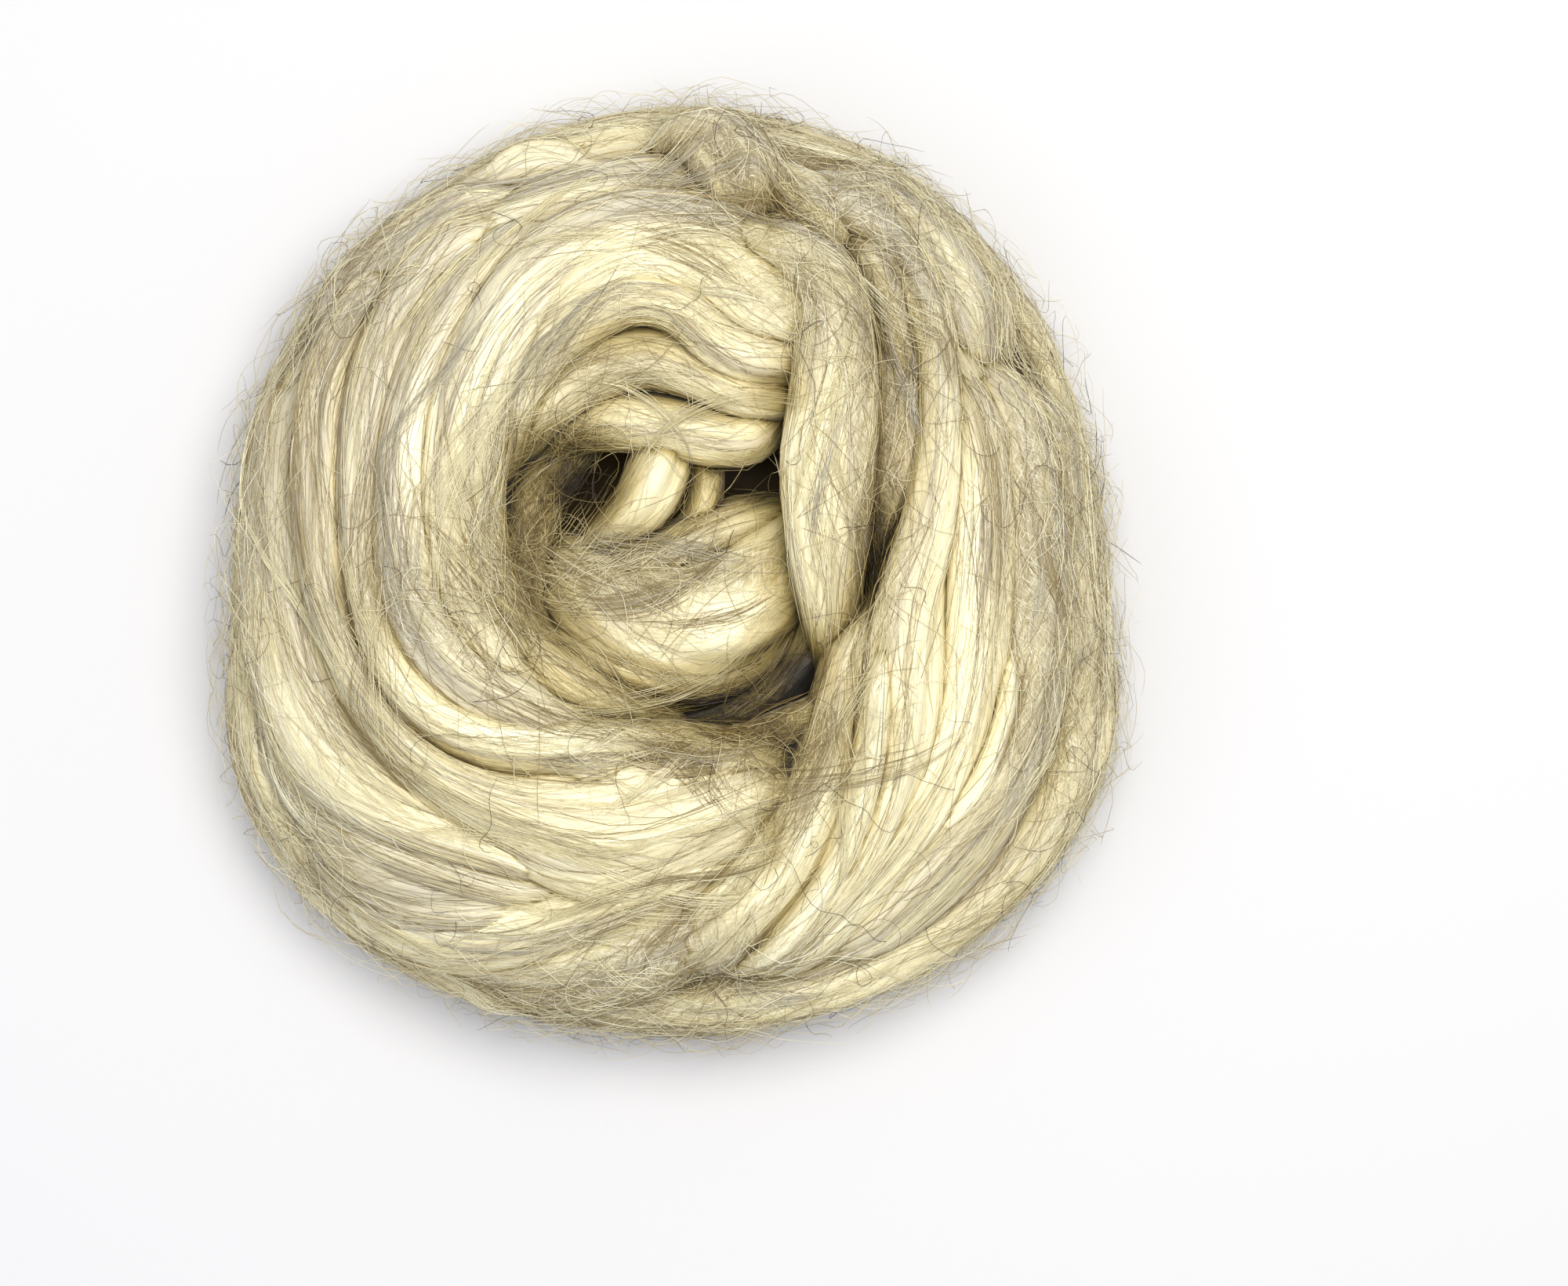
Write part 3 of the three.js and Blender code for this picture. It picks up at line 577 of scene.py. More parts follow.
def strandFace(strand, s, phi, lift=0.0):
    # Points on the strand's ridged face, and the way out of it there.
    middle, across, up, along, halfWidth, halfThickness, full = strandAt(strand, s)
    c, d = np.cos(phi), np.sin(phi)
    power = 2 / strand["fullness"]
    x = halfWidth * np.sign(c) * np.abs(c) ** power
    y = halfThickness * np.sign(d) * np.abs(d) ** power
    out = unit(across * (c / halfWidth)[..., None] + up * (d / halfThickness)[..., None])
    height = lockHeight(strand, s, phi, halfWidth, halfThickness) * full + lift
    return middle + across * x[..., None] + up * y[..., None] + out * height[..., None], out


# Tan flax-like fibre and grey fibre lie in patches, and so do silk fibre and its painted highlight, held as
# one tone: middle, reach each way, and how much of it.
patches = {
    "tan": [
        ((15, 107), (17, 15), 1.0), ((15, 99), (46, 8), 0.5), ((-54, 86), (26, 12), 0.5),
        ((54, 80), (20, 18), 0.45), ((40, 62), (17, 14), 0.5), ((99, 0), (14, 45), 0.2),
        ((-90, 62), (15, 16), 0.8), ((-82, 25), (10, 30), 0.4), ((-38, 5), (8, 24), 0.8),
        ((4, 4), (20, 8), 0.3), ((14, -40), (28, 10), 1.0), ((14, -70), (12, 9), 0.5),
        ((6, -93), (24, 9), 0.9), ((-14, 52), (20, 6), 0.7), ((-14, -4), (16, 8), 0.5),
        ((30, -54), (7, 14), 0.5), ((-90, -80), (24, 12), 0.4), ((85, -75), (24, 17), 0.45),
        ((53, 10), (8, 26), 0.7), ((-16, -115), (44, 9), 0.5),
    ],
    "grey": [
        ((0, 100), (56, 9), 1.0), ((-52, 86), (26, 14), 0.9), ((-62, 66), (26, 30), 0.9),
        ((57, 78), (22, 20), 0.7), ((38, 66), (14, 14), 0.4), ((101, 4), (16, 48), 0.4),
        ((-84, 30), (14, 32), 0.5), ((1, 6), (22, 8), 0.55), ((0, -99), (30, 11), 0.4),
        ((-22, -8), (14, 9), 0.4), ((-92, -78), (25, 14), 0.5), ((88, -72), (24, 17), 0.4),
        ((54, 14), (8, 26), 0.4), ((78, 57), (15, 32), 0.5), ((-16, -116), (44, 9), 0.3),
    ],
    "silkAndPaintedHighlight": [
        ((-44, 57), (9, 26), 0.9), ((-64, 30), (4, 20), 0.9), ((-11, -71), (28, 8), 0.9),
        ((53, -34), (7, 28), 0.9), ((74, -18), (6, 28), 0.8), ((13, -12), (10, 11), 0.8),
        ((-3, 18), (8, 9), 0.8), ((8, 54), (20, 7), 0.6), ((-5, 84), (26, 9), 0.6), ((40, 24), (8, 30), 0.7),
        ((-51, -96), (32, 9), 0.6), ((-60, -45), (34, 9), 0.5),
    ],
}


def patchShare(points, patch, softness=1.0):
    # How much of a patch lies at these points: most in its middle, and fading out past its reach.
    (x, y), (reachX, reachY), much = patch
    dx = (points[..., 0] - x) / reachX
    dy = (points[..., 1] - y) / reachY
    return much * np.exp(-(dx * dx + dy * dy) / softness)


def toneAlong(strand, s):
    # How much tan fibre, grey fibre, and silk with painted highlight a strand holds at a distance s along it.
    share = s / strand["length"]
    return {kind: smoothValue(much, share) if isinstance(much, list) else np.full(s.shape, float(much))
            for kind, much in strand["tone"].items()}


patchSoftness = 1.4  # a patch of tone or shade fades out slowly
leastMix = {"tan": 0.03, "grey": 0.04, "silkAndPaintedHighlight": 0.12}  # stray fibres of each tone lie everywhere
lockMix = {"tan": 0.5, "grey": 0.4, "silkAndPaintedHighlight": 0.45}  # and more of them in some locks
lockChange = 0.8  # how much a tone changes from lock to lock
oddLock = (0.35, 1.0)  # a lock past the first value is duller or brighter, and fully so at the second


def fibreMix(points, streak, tone):
    # How much tan fibre, grey fibre, and silk with painted highlight lies at these points; streak varies it
    # from lock to lock.
    mix = {kind: np.maximum(tone[kind], least) for kind, least in leastMix.items()}
    for kind, places in patches.items():
        for patch in places:
            mix[kind] = np.maximum(mix[kind], patchShare(points, patch, patchSoftness))
    dull, shine = smoothStep(streak, *oddLock), smoothStep(-streak, *oddLock)
    for kind, much in mix.items():
        sign, extra = (-1, shine) if kind == "silkAndPaintedHighlight" else (1, dull)
        mix[kind] = np.clip(much * (1 + lockChange * streak * sign) + lockMix[kind] * extra, 0, 1)
    return mix


def streakAt(strand, s, phi):
    # A random value for each lock: dull locks are above 0, and bright ones below.
    halfWidth, halfThickness = strandAt(strand, s)[4:6]
    turned = phi - windAt(strand, s)
    lock = streakLock
    at = np.stack((halfWidth * np.cos(turned) / lock["width"], halfThickness * np.sin(turned) / lock["width"],
                   s / lock["length"]), -1)
    finer = softNoise(lock["finer"] * at, strand["seed"] + 31)
    return softNoise(at, strand["seed"] + 29) + lock["finerShare"] * finer


def faceStrand(strand):
    # The strand's face as a grid of points, with the fibre that lies at each.
    gridS, gridPhi = np.meshgrid(strand["walked"], strand["phi"], indexing="ij")
    points, out = strandFace(strand, gridS, gridPhi)
    points[..., 2] = np.maximum(points[..., 2], 0.0)
    strand["points"], strand["out"] = points, out
    strand["mix"] = fibreMix(points, streakAt(strand, gridS, gridPhi), toneAlong(strand, gridS))


for strand in strands:
    faceStrand(strand)


def gridQuads(rings, count):
    # The faces between rings of points.
    i, j = np.meshgrid(np.arange(rings - 1), np.arange(count), indexing="ij")
    i, j = i.ravel(), j.ravel()
    k = (j + 1) % count
    return np.stack((i * count + j, i * count + k, (i + 1) * count + k, (i + 1) * count + j), 1)


def corePoints():
    # The core inside the form, painted dark with shade; it lies deepest under the crest and in the hollow,
    # where strands lie thickest.
    f = nestForm
    rolls, angles = np.linspace(*f["coreRolls"], f["coreRings"]), np.arange(0, 360, f["coreStep"])
    gridRoll, gridAngle = np.meshgrid(rolls, angles, indexing="ij")
    insets = (f["coreInsetInside"], f["coreInsetTop"], f["coreInsetTop"], f["coreInset"])
    inset = np.interp(gridRoll, (-60, 20, 40, 80), insets)
    points = formPoint(gridAngle, gridRoll) - formNormal(gridAngle, gridRoll) * inset[..., None]
    points[..., 2] = np.maximum(points[..., 2], 0.0)
    return points, gridRoll, gridAngle


def woolTree():
    # All the wool's faces, to find what lies over a place, and which way the wool runs at each face.
    points, quads, runs, first = [], [], [], 0
    for strand in strands:
        grid = strand["points"]
        points.append(grid.reshape(-1, 3))
        quads.append(gridQuads(*grid.shape[:2]) + first)
        runs.append(np.repeat(strand["along"][:-1], grid.shape[1], axis=0))
        first += len(points[-1])
    core = corePoints()[0]
    points.append(core.reshape(-1, 3))
    quads.append(gridQuads(*core.shape[:2]) + first)
    runs.append(np.zeros((len(quads[-1]), 3)))
    return BVHTree.FromPolygons(np.vstack(points).tolist(), np.vstack(quads).tolist()), np.vstack(runs)


woolFaces, faceRuns = woolTree()


def isClear(places, directions, reach):
    # Whether nothing lies in the way from each place.
    cast = woolFaces.ray_cast
    clear = [cast(p, d, reach)[0] is None for p, d in zip(places.tolist(), directions.tolist())]
    return np.array(clear, bool)


# Where the wool is frizzy: middle, reach, and how much loose fibre lies there. A little lies everywhere.
frizz = [
    ((12, 106), (17, 14), 3.4), ((24, 93), (14, 9), 3.0), ((45, 100), (32, 14), 1.4),
    ((40, 72), (14, 20), 2.4), ((16, 74), (14, 9), 1.2), ((56, 62), (9, 28), 2.4), ((96, 12), (11, 48), 2.4),
    ((98, -40), (12, 22), 1.6), ((82, 70), (22, 22), 1.2), ((-82, 76), (20, 14), 1.6),
    ((-108, 0), (7, 55), 1.2), ((-64, -6), (22, 12), 2.2), ((-41, 12), (8, 26), 3.2),
    ((-24, 35), (13, 6), 2.6), ((-28, 16), (9, 10), 1.8), ((2, 4), (26, 8), 2.0), ((12, -38), (34, 9), 3.6),
    ((28, -44), (9, 12), 2.4), ((25, -66), (8, 10), 1.6), ((2, -97), (28, 9), 2.8), ((-16, -4), (16, 9), 1.6),
    ((20, -2), (14, 12), 0.7), ((-14, 53), (18, 5), 1.5), ((-20, -110), (44, 9), 1.8),
    ((-94, -66), (16, 14), 1.2), ((52, 10), (6, 24), 3.0), ((20, 24), (10, 6), 2.4),
]
frizzEverywhere = 0.16


def frizzAt(points):
    much = np.full(points.shape[:-1], frizzEverywhere)
    for patch in frizz:
        much += patchShare(points, patch)
    return much


slantOutwards = {"radii": (72.0, 116.0), "most": 1.35}  # radians off straight up, at the outline


def wayOut(points):
    # Up over the top of the nest, and outwards down its sides.
    radius = np.hypot(points[..., 0], points[..., 1])
    slant = slantOutwards["most"] * smoothStep(radius, *slantOutwards["radii"])
    flat = points[..., :2] / np.maximum(radius, 1.0)[..., None]
    return np.concatenate((flat * np.sin(slant)[..., None], np.cos(slant)[..., None]), -1)


def ontoWool(points, reach=26.0):
    # Each point moved along the way out until it lies on the wool, with the way the wool runs there.
    out = wayOut(points)
    cast = woolFaces.ray_cast
    moved, runs = points.copy(), np.zeros_like(points)
    for i, (p, d) in enumerate(zip((points + out * reach).tolist(), (-out).tolist())):
        hit, _, face, _ = cast(p, d, 2 * reach)
        if hit is not None:
            moved[i] = hit
            runs[i] = faceRuns[face]
    return moved, out, runs


def turnedAbout(vectors, axis, degrees):
    # For vectors square to the axis.
    angle = np.radians(degrees)[:, None]
    return vectors * np.cos(angle) + np.cross(axis, vectors) * np.sin(angle)


tautness = {"passes": 3, "pull": 0.9}
bendKept = 0.75  # share of a fibre's bend that carries on from step to step


def bridged(walk, ups):
    # A taut fibre spans the dips.
    taut = walk.copy()
    for _ in range(tautness["passes"]):
        middle = (taut[:, :-2] + taut[:, 2:]) / 2
        below = ((middle - taut[:, 1:-1]) * ups[:, 1:-1]).sum(-1, keepdims=True)
        taut[:, 1:-1] += ups[:, 1:-1] * np.maximum(below, 0) * tautness["pull"]
    return taut


def walkOver(starts, headings, steps, lengths, turned, curl, follow):
    # Walks over the wool from each start. follow turns each step towards the way the wool runs there, and
    # curl is the bend at each step in degrees. Also gives how far each fibre stands off the wool at most.
    count = len(starts)
    out = wayOut(starts)
    heading = turnedAbout(unit(headings - out * (headings * out).sum(1, keepdims=True)), out, turned)
    place, walk, ups = starts.copy(), [], []
    bend = dice.normal(0, 1, count) * curl
    for step in range(steps):
        place, out, run = ontoWool(place)
        walk.append(place)
        ups.append(out)
        bend = bendKept * bend + dice.normal(0, 1, count) * curl
        run = run * np.sign((run * heading).sum(1, keepdims=True))
        heading = heading + follow * run
        heading = unit(heading - out * (heading * out).sum(1, keepdims=True))
        heading = turnedAbout(heading, out, bend)
        place = place + heading * (lengths / (steps - 1))[:, None]
    walk, ups = np.stack(walk, 1), np.stack(ups, 1)
    taut = bridged(walk, ups)
    return taut, ups, np.linalg.norm(walk - taut, axis=-1).max(1)


strewing = {
    "tries": 4.2, "pastHalf": 0.35,  # places tried for each fibre, all over the strands' outer halves
    "off": 0.8, "clear": 200.0,  # a place is open when a ray from this far off the face meets nothing
    "choices": 3,  # open places to choose each loose fibre's start from
    "sideShare": 0.5,  # share kept of the places that are open only outwards
}


def startsOnStrands(count, sideShare):
    # Places on the strands' open faces, evenly spread: which strand, how far along it, and how far round.
    area = np.array([s["length"] * (s["halfWidth"].mean() + s["halfThickness"].mean()) for s in strands])
    tries = int(count * strewing["tries"])
    which = dice.choice(len(strands), tries, p=area / area.sum())
    share = dice.random(tries)
    phi = dice.uniform(-strewing["pastHalf"], math.pi + strewing["pastHalf"], tries)
    keep = []
    for k, strand in enumerate(strands):
        mine = np.flatnonzero(which == k)
        s = share[mine] * strand["length"]
        points, out = strandFace(strand, s, phi[mine])
        above = points + out * strewing["off"]
        fromTop = isClear(above, np.tile((0.0, 0.0, 1.0), (len(points), 1)), strewing["clear"])
        hidden = np.flatnonzero(~fromTop)
        fromSide = np.zeros(len(points), bool)
        fromSide[hidden] = isClear(above[hidden], out[hidden], strewing["clear"])
        shown = fromTop | (fromSide & (dice.random(len(points)) < sideShare))
        keep.append(np.stack((np.full(shown.sum(), k), s[shown], phi[mine][shown]), 1))
    keep = np.vstack(keep)
    dice.shuffle(keep)
    print("STAGE", len(keep), "open places found of", tries)
    return keep[:count]


def placesAndRuns(count, weigh):
    # Open places with the run of their strand, picked by how much weigh gives them.
    starts = startsOnStrands(count * strewing["choices"], strewing["sideShare"])
    points, runs = np.zeros((len(starts), 3)), np.zeros((len(starts), 3))
    for k, strand in enumerate(strands):
        mine = starts[:, 0] == k
        points[mine] = strandFace(strand, starts[mine, 1], starts[mine, 2])[0]
        runs[mine] = strandAt(strand, starts[mine, 1])[3]  # along
    much = weigh(points)
    chosen = dice.choice(len(points), min(count, len(points)), replace=False, p=much / much.sum())
    return points[chosen], runs[chosen], much[chosen]


# How open a place is to the light: the share of rays from it that meet no wool nearby. start is where a ray
# starts off the face, and widest is 1 for rays that go all the way down to the side.
# Where this is low, the wool's colour is darkened: painted shade.
openness = {"reach": 26.0, "goldenAngle": 2.399963}
strandRays = {"rays": 12, "start": 0.6, "widest": 0.86, "firstTurn": 0.5}
fibreRays = {"rays": 7, "start": 0.5, "widest": 0.8, "firstTurn": 0.0}

# Painted shade at places deep under frayed fibre: middle, reach, and how much of the light is lost.
shadePlaces = [
    ((18, -40), (20, 7), 0.45), ((-30, -14), (6, 10), 0.25), ((30, -44), (6, 12), 0.45),
    ((33, -24), (8, 6), 0.9), ((-21, 23), (10, 8), 1.0), ((-24, 34), (11, 4), 0.4), ((-40, 14), (4, 20), 0.2),
    ((20, 23), (9, 4), 0.45), ((52, 6), (4, 16), 0.3), ((26, 94), (6, 7), 0.5), ((26, -66), (4, 12), 0.35),
    ((-12, 61), (14, 4), 0.35), ((28, 46), (7, 4), 0.5),
]


# The share of light that the painted shade places take away here.
def darkAt(points):
    kept = np.ones(points.shape[:-1])
    for place in shadePlaces:
        kept = kept * (1 - patchShare(points, place, patchSoftness))
    return 1 - kept


def opennessOf(points, out, r):
    anySide = (0.31, 0.57, 0.76)  # a fixed direction to start the turns from
    side = unit(np.cross(out, anySide))
    other = np.cross(out, side)
    clear = np.zeros(len(points))
    for k in range(r["rays"]):
        tilt = math.acos(1 - r["widest"] * (k + 0.5) / r["rays"])
        turn = (k + r["firstTurn"]) * openness["goldenAngle"]
        ray = out * math.cos(tilt) + (side * math.cos(turn) + other * math.sin(turn)) * math.sin(tilt)
        clear += isClear(points + out * r["start"], ray, openness["reach"])
    return clear / r["rays"] * (1 - darkAt(points))


def measureOpenness():
    # Only a strand's outer half is measured: its buried half stays dark.
    for strand in strands:
        shown = strand["phi"] < math.pi + strandShape["edge"]
        strand["open"] = np.zeros(strand["points"].shape[:2])
        points, out = strand["points"][:, shown].reshape(-1, 3), strand["out"][:, shown].reshape(-1, 3)
        strand["open"][:, shown] = opennessOf(points, out, strandRays).reshape(-1, shown.sum())


measureOpenness()
print("STAGE openness is measured at", sum(strand["open"].size for strand in strands), "places")


def openAt(strand, s, phi):
    # The measured openness, smoothly between the places it was measured at.
    i = np.interp(s, strand["walked"], np.arange(len(strand["walked"])))
    j = np.interp(phi, strand["phi"], np.arange(len(strand["phi"])))
    i0 = np.minimum(i.astype(int), len(strand["walked"]) - 2)
    j0 = np.minimum(j.astype(int), len(strand["phi"]) - 2)
    u, v, grid = i - i0, j - j0, strand["open"]
    return ((grid[i0, j0] * (1 - u) + grid[i0 + 1, j0] * u) * (1 - v)
            + (grid[i0, j0 + 1] * (1 - u) + grid[i0 + 1, j0 + 1] * u) * v)


def inFrame(points):
    # From mm about the ring's centre to metres about the middle of the outline.
    return (points - np.array((*nestForm["middle"], 0.0))) * toMetres


def meshFrom(name, points, faces, loopMaps=None, pointValues=None):
    # faces is a list of (count, corners) arrays; loopMaps holds a uv pair for each corner in the same order.
    mesh = bpy.data.meshes.new(name)
    corners = np.concatenate([f.ravel() for f in faces]).astype(np.int32)
    sizes = np.concatenate([np.full(len(f), f.shape[1]) for f in faces]).astype(np.int32)
    starts = np.concatenate(([0], np.cumsum(sizes)[:-1])).astype(np.int32)
    mesh.vertices.add(len(points))
    mesh.vertices.foreach_set("co", inFrame(points).astype(np.float32).ravel())
    mesh.loops.add(len(corners))
    mesh.loops.foreach_set("vertex_index", corners)
    mesh.polygons.add(len(sizes))
    mesh.polygons.foreach_set("loop_start", starts)
    mesh.polygons.foreach_set("use_smooth", np.ones(len(sizes), bool))
    for mapName, places in (loopMaps or {}).items():
        layer = mesh.uv_layers.new(name=mapName)
        layer.data.foreach_set("uv", places.astype(np.float32).ravel())
    for valueName, values in (pointValues or {}).items():
        mesh.attributes.new(valueName, "FLOAT", "POINT").data.foreach_set("value", values.astype(np.float32))
    mesh.update(calc_edges=True)
    mesh.validate()
    return mesh


def addPiece(name, mesh, material, standsFor=None):
    mesh.materials.append(material)
    piece = bpy.data.objects.new(name, mesh)
    bpy.context.scene.collection.objects.link(piece)
    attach(piece, "root")
    if standsFor:
        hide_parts(standsFor)
    print("STAGE", name, "has", len(mesh.polygons), "faces")
    return piece


bandGap = 1  # mm between two strands' bands on the map
bandShare = 2.2  # a band's width as a share of half width plus half thickness, since the buried half is small
rowGrowth = 1.02
frizzyWool = (0.3, 1.8)  # the frizz at which the pattern starts to change, and how much more changes it fully


def bandPlaces(bands):
    # Lays long bands (length, width) in rows across a square map. Returns the scale and where each starts.
    total = sum(length * width for length, width in bands)
    rowLength = math.sqrt(total)
    while sum((width + bandGap) * math.ceil(length / rowLength) for length, width in bands) > rowLength:
        rowLength *= rowGrowth  # until every band fits
    starts, top = [], 0.0
    for length, width in bands:
        starts.append(top)
        top += (width + bandGap) * math.ceil(length / rowLength)
    return rowLength, starts


def strandMesh(name, group):
    # Each strand is a closed body of rings. Two maps go with it: one laid along the fibre in mm, and one that
    # gives each strand its own band of a square.
    count = len(group[0]["phi"])
    bands = [(strand["length"], bandShare * float(strand["halfWidth"].max() + strand["halfThickness"].max()))
             for strand in group]
    rowLength, starts = bandPlaces(bands)
    allPoints, quads, caps, laid, bake, first = [], [], [], [[], []], [[], []], 0
    values = {"tan": [], "grey": [], "silkAndPaintedHighlight": [], "open": [], "frizz": []}
    roundStep = np.concatenate((group[0]["phi"], [group[0]["phi"][0] + 2 * math.pi]))
    for strand, (length, bandWidth), start in zip(group, bands, starts):
        s, points = strand["walked"], strand["points"]
        allPoints += [points.reshape(-1, 3), points[0].mean(0)[None], points[-1].mean(0)[None]]
        frizzy = np.clip((frizzAt(points) - frizzyWool[0]) / frizzyWool[1], 0, 1)
        for kind, much in {**strand["mix"], "open": strand["open"], "frizz": frizzy}.items():
            values[kind] += [much.ravel(), [much[0].mean(), much[-1].mean()]]
        quads.append(first + gridQuads(len(s), count))
        mean = float((strand["halfWidth"] + strand["halfThickness"]).max()) / 2
        shift = 1000.0 * strand["seed"]  # so that no two strands have the same streaks

        def places(t, j, row):
            # Both maps at a distance t along the strand and at the round step j.
            around = (roundStep[j] - roundStep[0]) / (2 * math.pi)
            a = np.clip(t - row * rowLength, 0, rowLength)
            return (rowsOf((roundStep[j] * mean, t + shift)),
                    rowsOf((a, start + row * (bandWidth + bandGap) + around * bandWidth)) / rowLength)

        i, j = np.meshgrid(np.arange(len(s) - 1), np.arange(count), indexing="ij")
        i, j = i.ravel(), j.ravel()
        row = np.floor((s[i] + s[i + 1]) / 2 / rowLength)
        corners = [places(s[i + di], j + dj, row) for di, dj in ((0, 0), (0, 1), (1, 1), (1, 0))]
        for target, k in ((laid, 0), (bake, 1)):
            target[0].append(np.stack([c[k] for c in corners], 1).reshape(-1, 2))
        j = np.arange(count)
        for ring, inward in ((0, 1.0), (len(s) - 1, -1.0)):
            order = (j + 1, j) if ring == 0 else (j, j + 1)
            middle = np.full(count, first + points[..., 0].size + (ring > 0))
            caps.append(np.stack([first + ring * count + k % count for k in order] + [middle], 1))
            row = np.full(count, math.floor(max(s[ring] - 0.01, 0) / rowLength))
            t = np.full(count, s[ring])
            corners = [places(t, order[0], row), places(t, order[1], row), places(t + 0.5 * inward, j, row)]
            for target, k in ((laid, 0), (bake, 1)):
                target[1].append(np.stack([c[k] for c in corners], 1).reshape(-1, 2))
        first += points[..., 0].size + 2
    maps = {"OFBake": np.vstack(bake[0] + bake[1]), "laid": np.vstack(laid[0] + laid[1])}
    return meshFrom(name, np.vstack(allPoints), [np.vstack(quads), np.vstack(caps)], maps,
                    {kind: np.concatenate(much) for kind, much in values.items()})


# Combed wool top, drawn by the comb: it lies all one way, so it shines across the fibre and its locks show as
# streaks. Real fibres are 0.02 to 0.04 mm thick; streaks are drawn at 0.45 mm, the finest that shows.
combedWool = {
    "streakWidth": 0.45, "streakLength": 42.0, "lockWidth": 1.9, "lockLength": 90.0,
    "frizzWidth": 0.42, "frizzLength": 6.0, "frizzTurns": (13.0, -27.0, 52.0), "frizzGapShade": 0.34,
    "frizzRange": {"From Min": 0.46, "From Max": 0.74, "To Min": 0.14, "To Max": 0.88},
    "cream": [(0.28, "#D8CC9E"), (0.5, "#E9DFB5"), (0.72, "#F5EDCB")],
    "tan": [(0.28, "#806E46"), (0.5, "#A69268"), (0.72, "#C8B88D")],
    "grey": [(0.28, "#9A917E"), (0.5, "#C3BCA9"), (0.72, "#E2DCCB")],
    # The palest ramp is painted highlight on silk, mixed in where the silk and highlight share is high.
    "silkAndPaintedHighlight": [(0.28, "#F6EDC4"), (0.72, "#FFFCE2")],
    "roughness": (0.36, 0.58), "ior": 1.55, "sheen": 0.14, "sheenRoughness": 0.4, "anisotropy": 0.55,
    "bumpHeight": 0.35, "bumpStrength": 0.8,
    "patchy": (1.3, 0.35),  # how much fine streaks break up the other tones, and the least of it
}


# Painted shade: deep between strands the light has passed through more wool, so the colour is painted darker
# and browner there.
paintedShadeTones = [(0.0, "#1C160A"), (0.08, "#4A3C1F"), (0.22, "#8F8258"), (0.42, "#C6BA94"),
              (0.66, "#EFE9D6"), (0.86, "#FFFFFF")]


def withPaintedShade(tree, colour, gapShade=None):
    # Painted shade: the colour made darker by how little light the place is open to, and by the shade in gaps
    # between fibres.
    openPlace = addNode(tree, "ShaderNodeAttribute", attribute_name="open").outputs["Fac"]
    if gapShade is not None:
        openPlace = addNode(tree, "ShaderNodeMath", links={0: openPlace, 1: gapShade}, operation="SUBTRACT",
                            use_clamp=True).outputs[0]
    ramp = addNode(tree, "ShaderNodeValToRGB", links={"Fac": openPlace})
    setStops(ramp, paintedShadeTones)
    mixed = addNode(tree, "ShaderNodeMix", data_type="RGBA", blend_type="MULTIPLY")
    mixed.inputs["Factor"].default_value = 1.0
    tree.links.new(colour, mixed.inputs[6])
    tree.links.new(ramp.outputs["Color"], mixed.inputs[7])
    return mixed.outputs[2]


def frizzPattern(tree, laid, m):
    # Frizzed fibres cross one another, so slanting sets of short wavy streaks are laid over each other.
    sets = []
    for turn in m["frizzTurns"]:
        at = addNode(tree, "ShaderNodeMapping", {"Rotation": (0, 0, math.radians(turn)),
                                                 "Scale": (m["frizzWidth"], m["frizzLength"], 1)},
                     {"Vector": laid}, vector_type="TEXTURE").outputs[0]
        sets.append(addNode(tree, "ShaderNodeTexNoise", {"Scale": 1.0, "Detail": 1.5, "Distortion": 1.6},
                            {"Vector": at}, noise_dimensions="2D").outputs["Fac"])
    over = sets[0]
    for other in sets[1:]:
        over = addNode(tree, "ShaderNodeMath", links={0: over, 1: other}, operation="MAXIMUM").outputs[0]
    return addNode(tree, "ShaderNodeMapRange", m["frizzRange"], {"Value": over}).outputs[0]


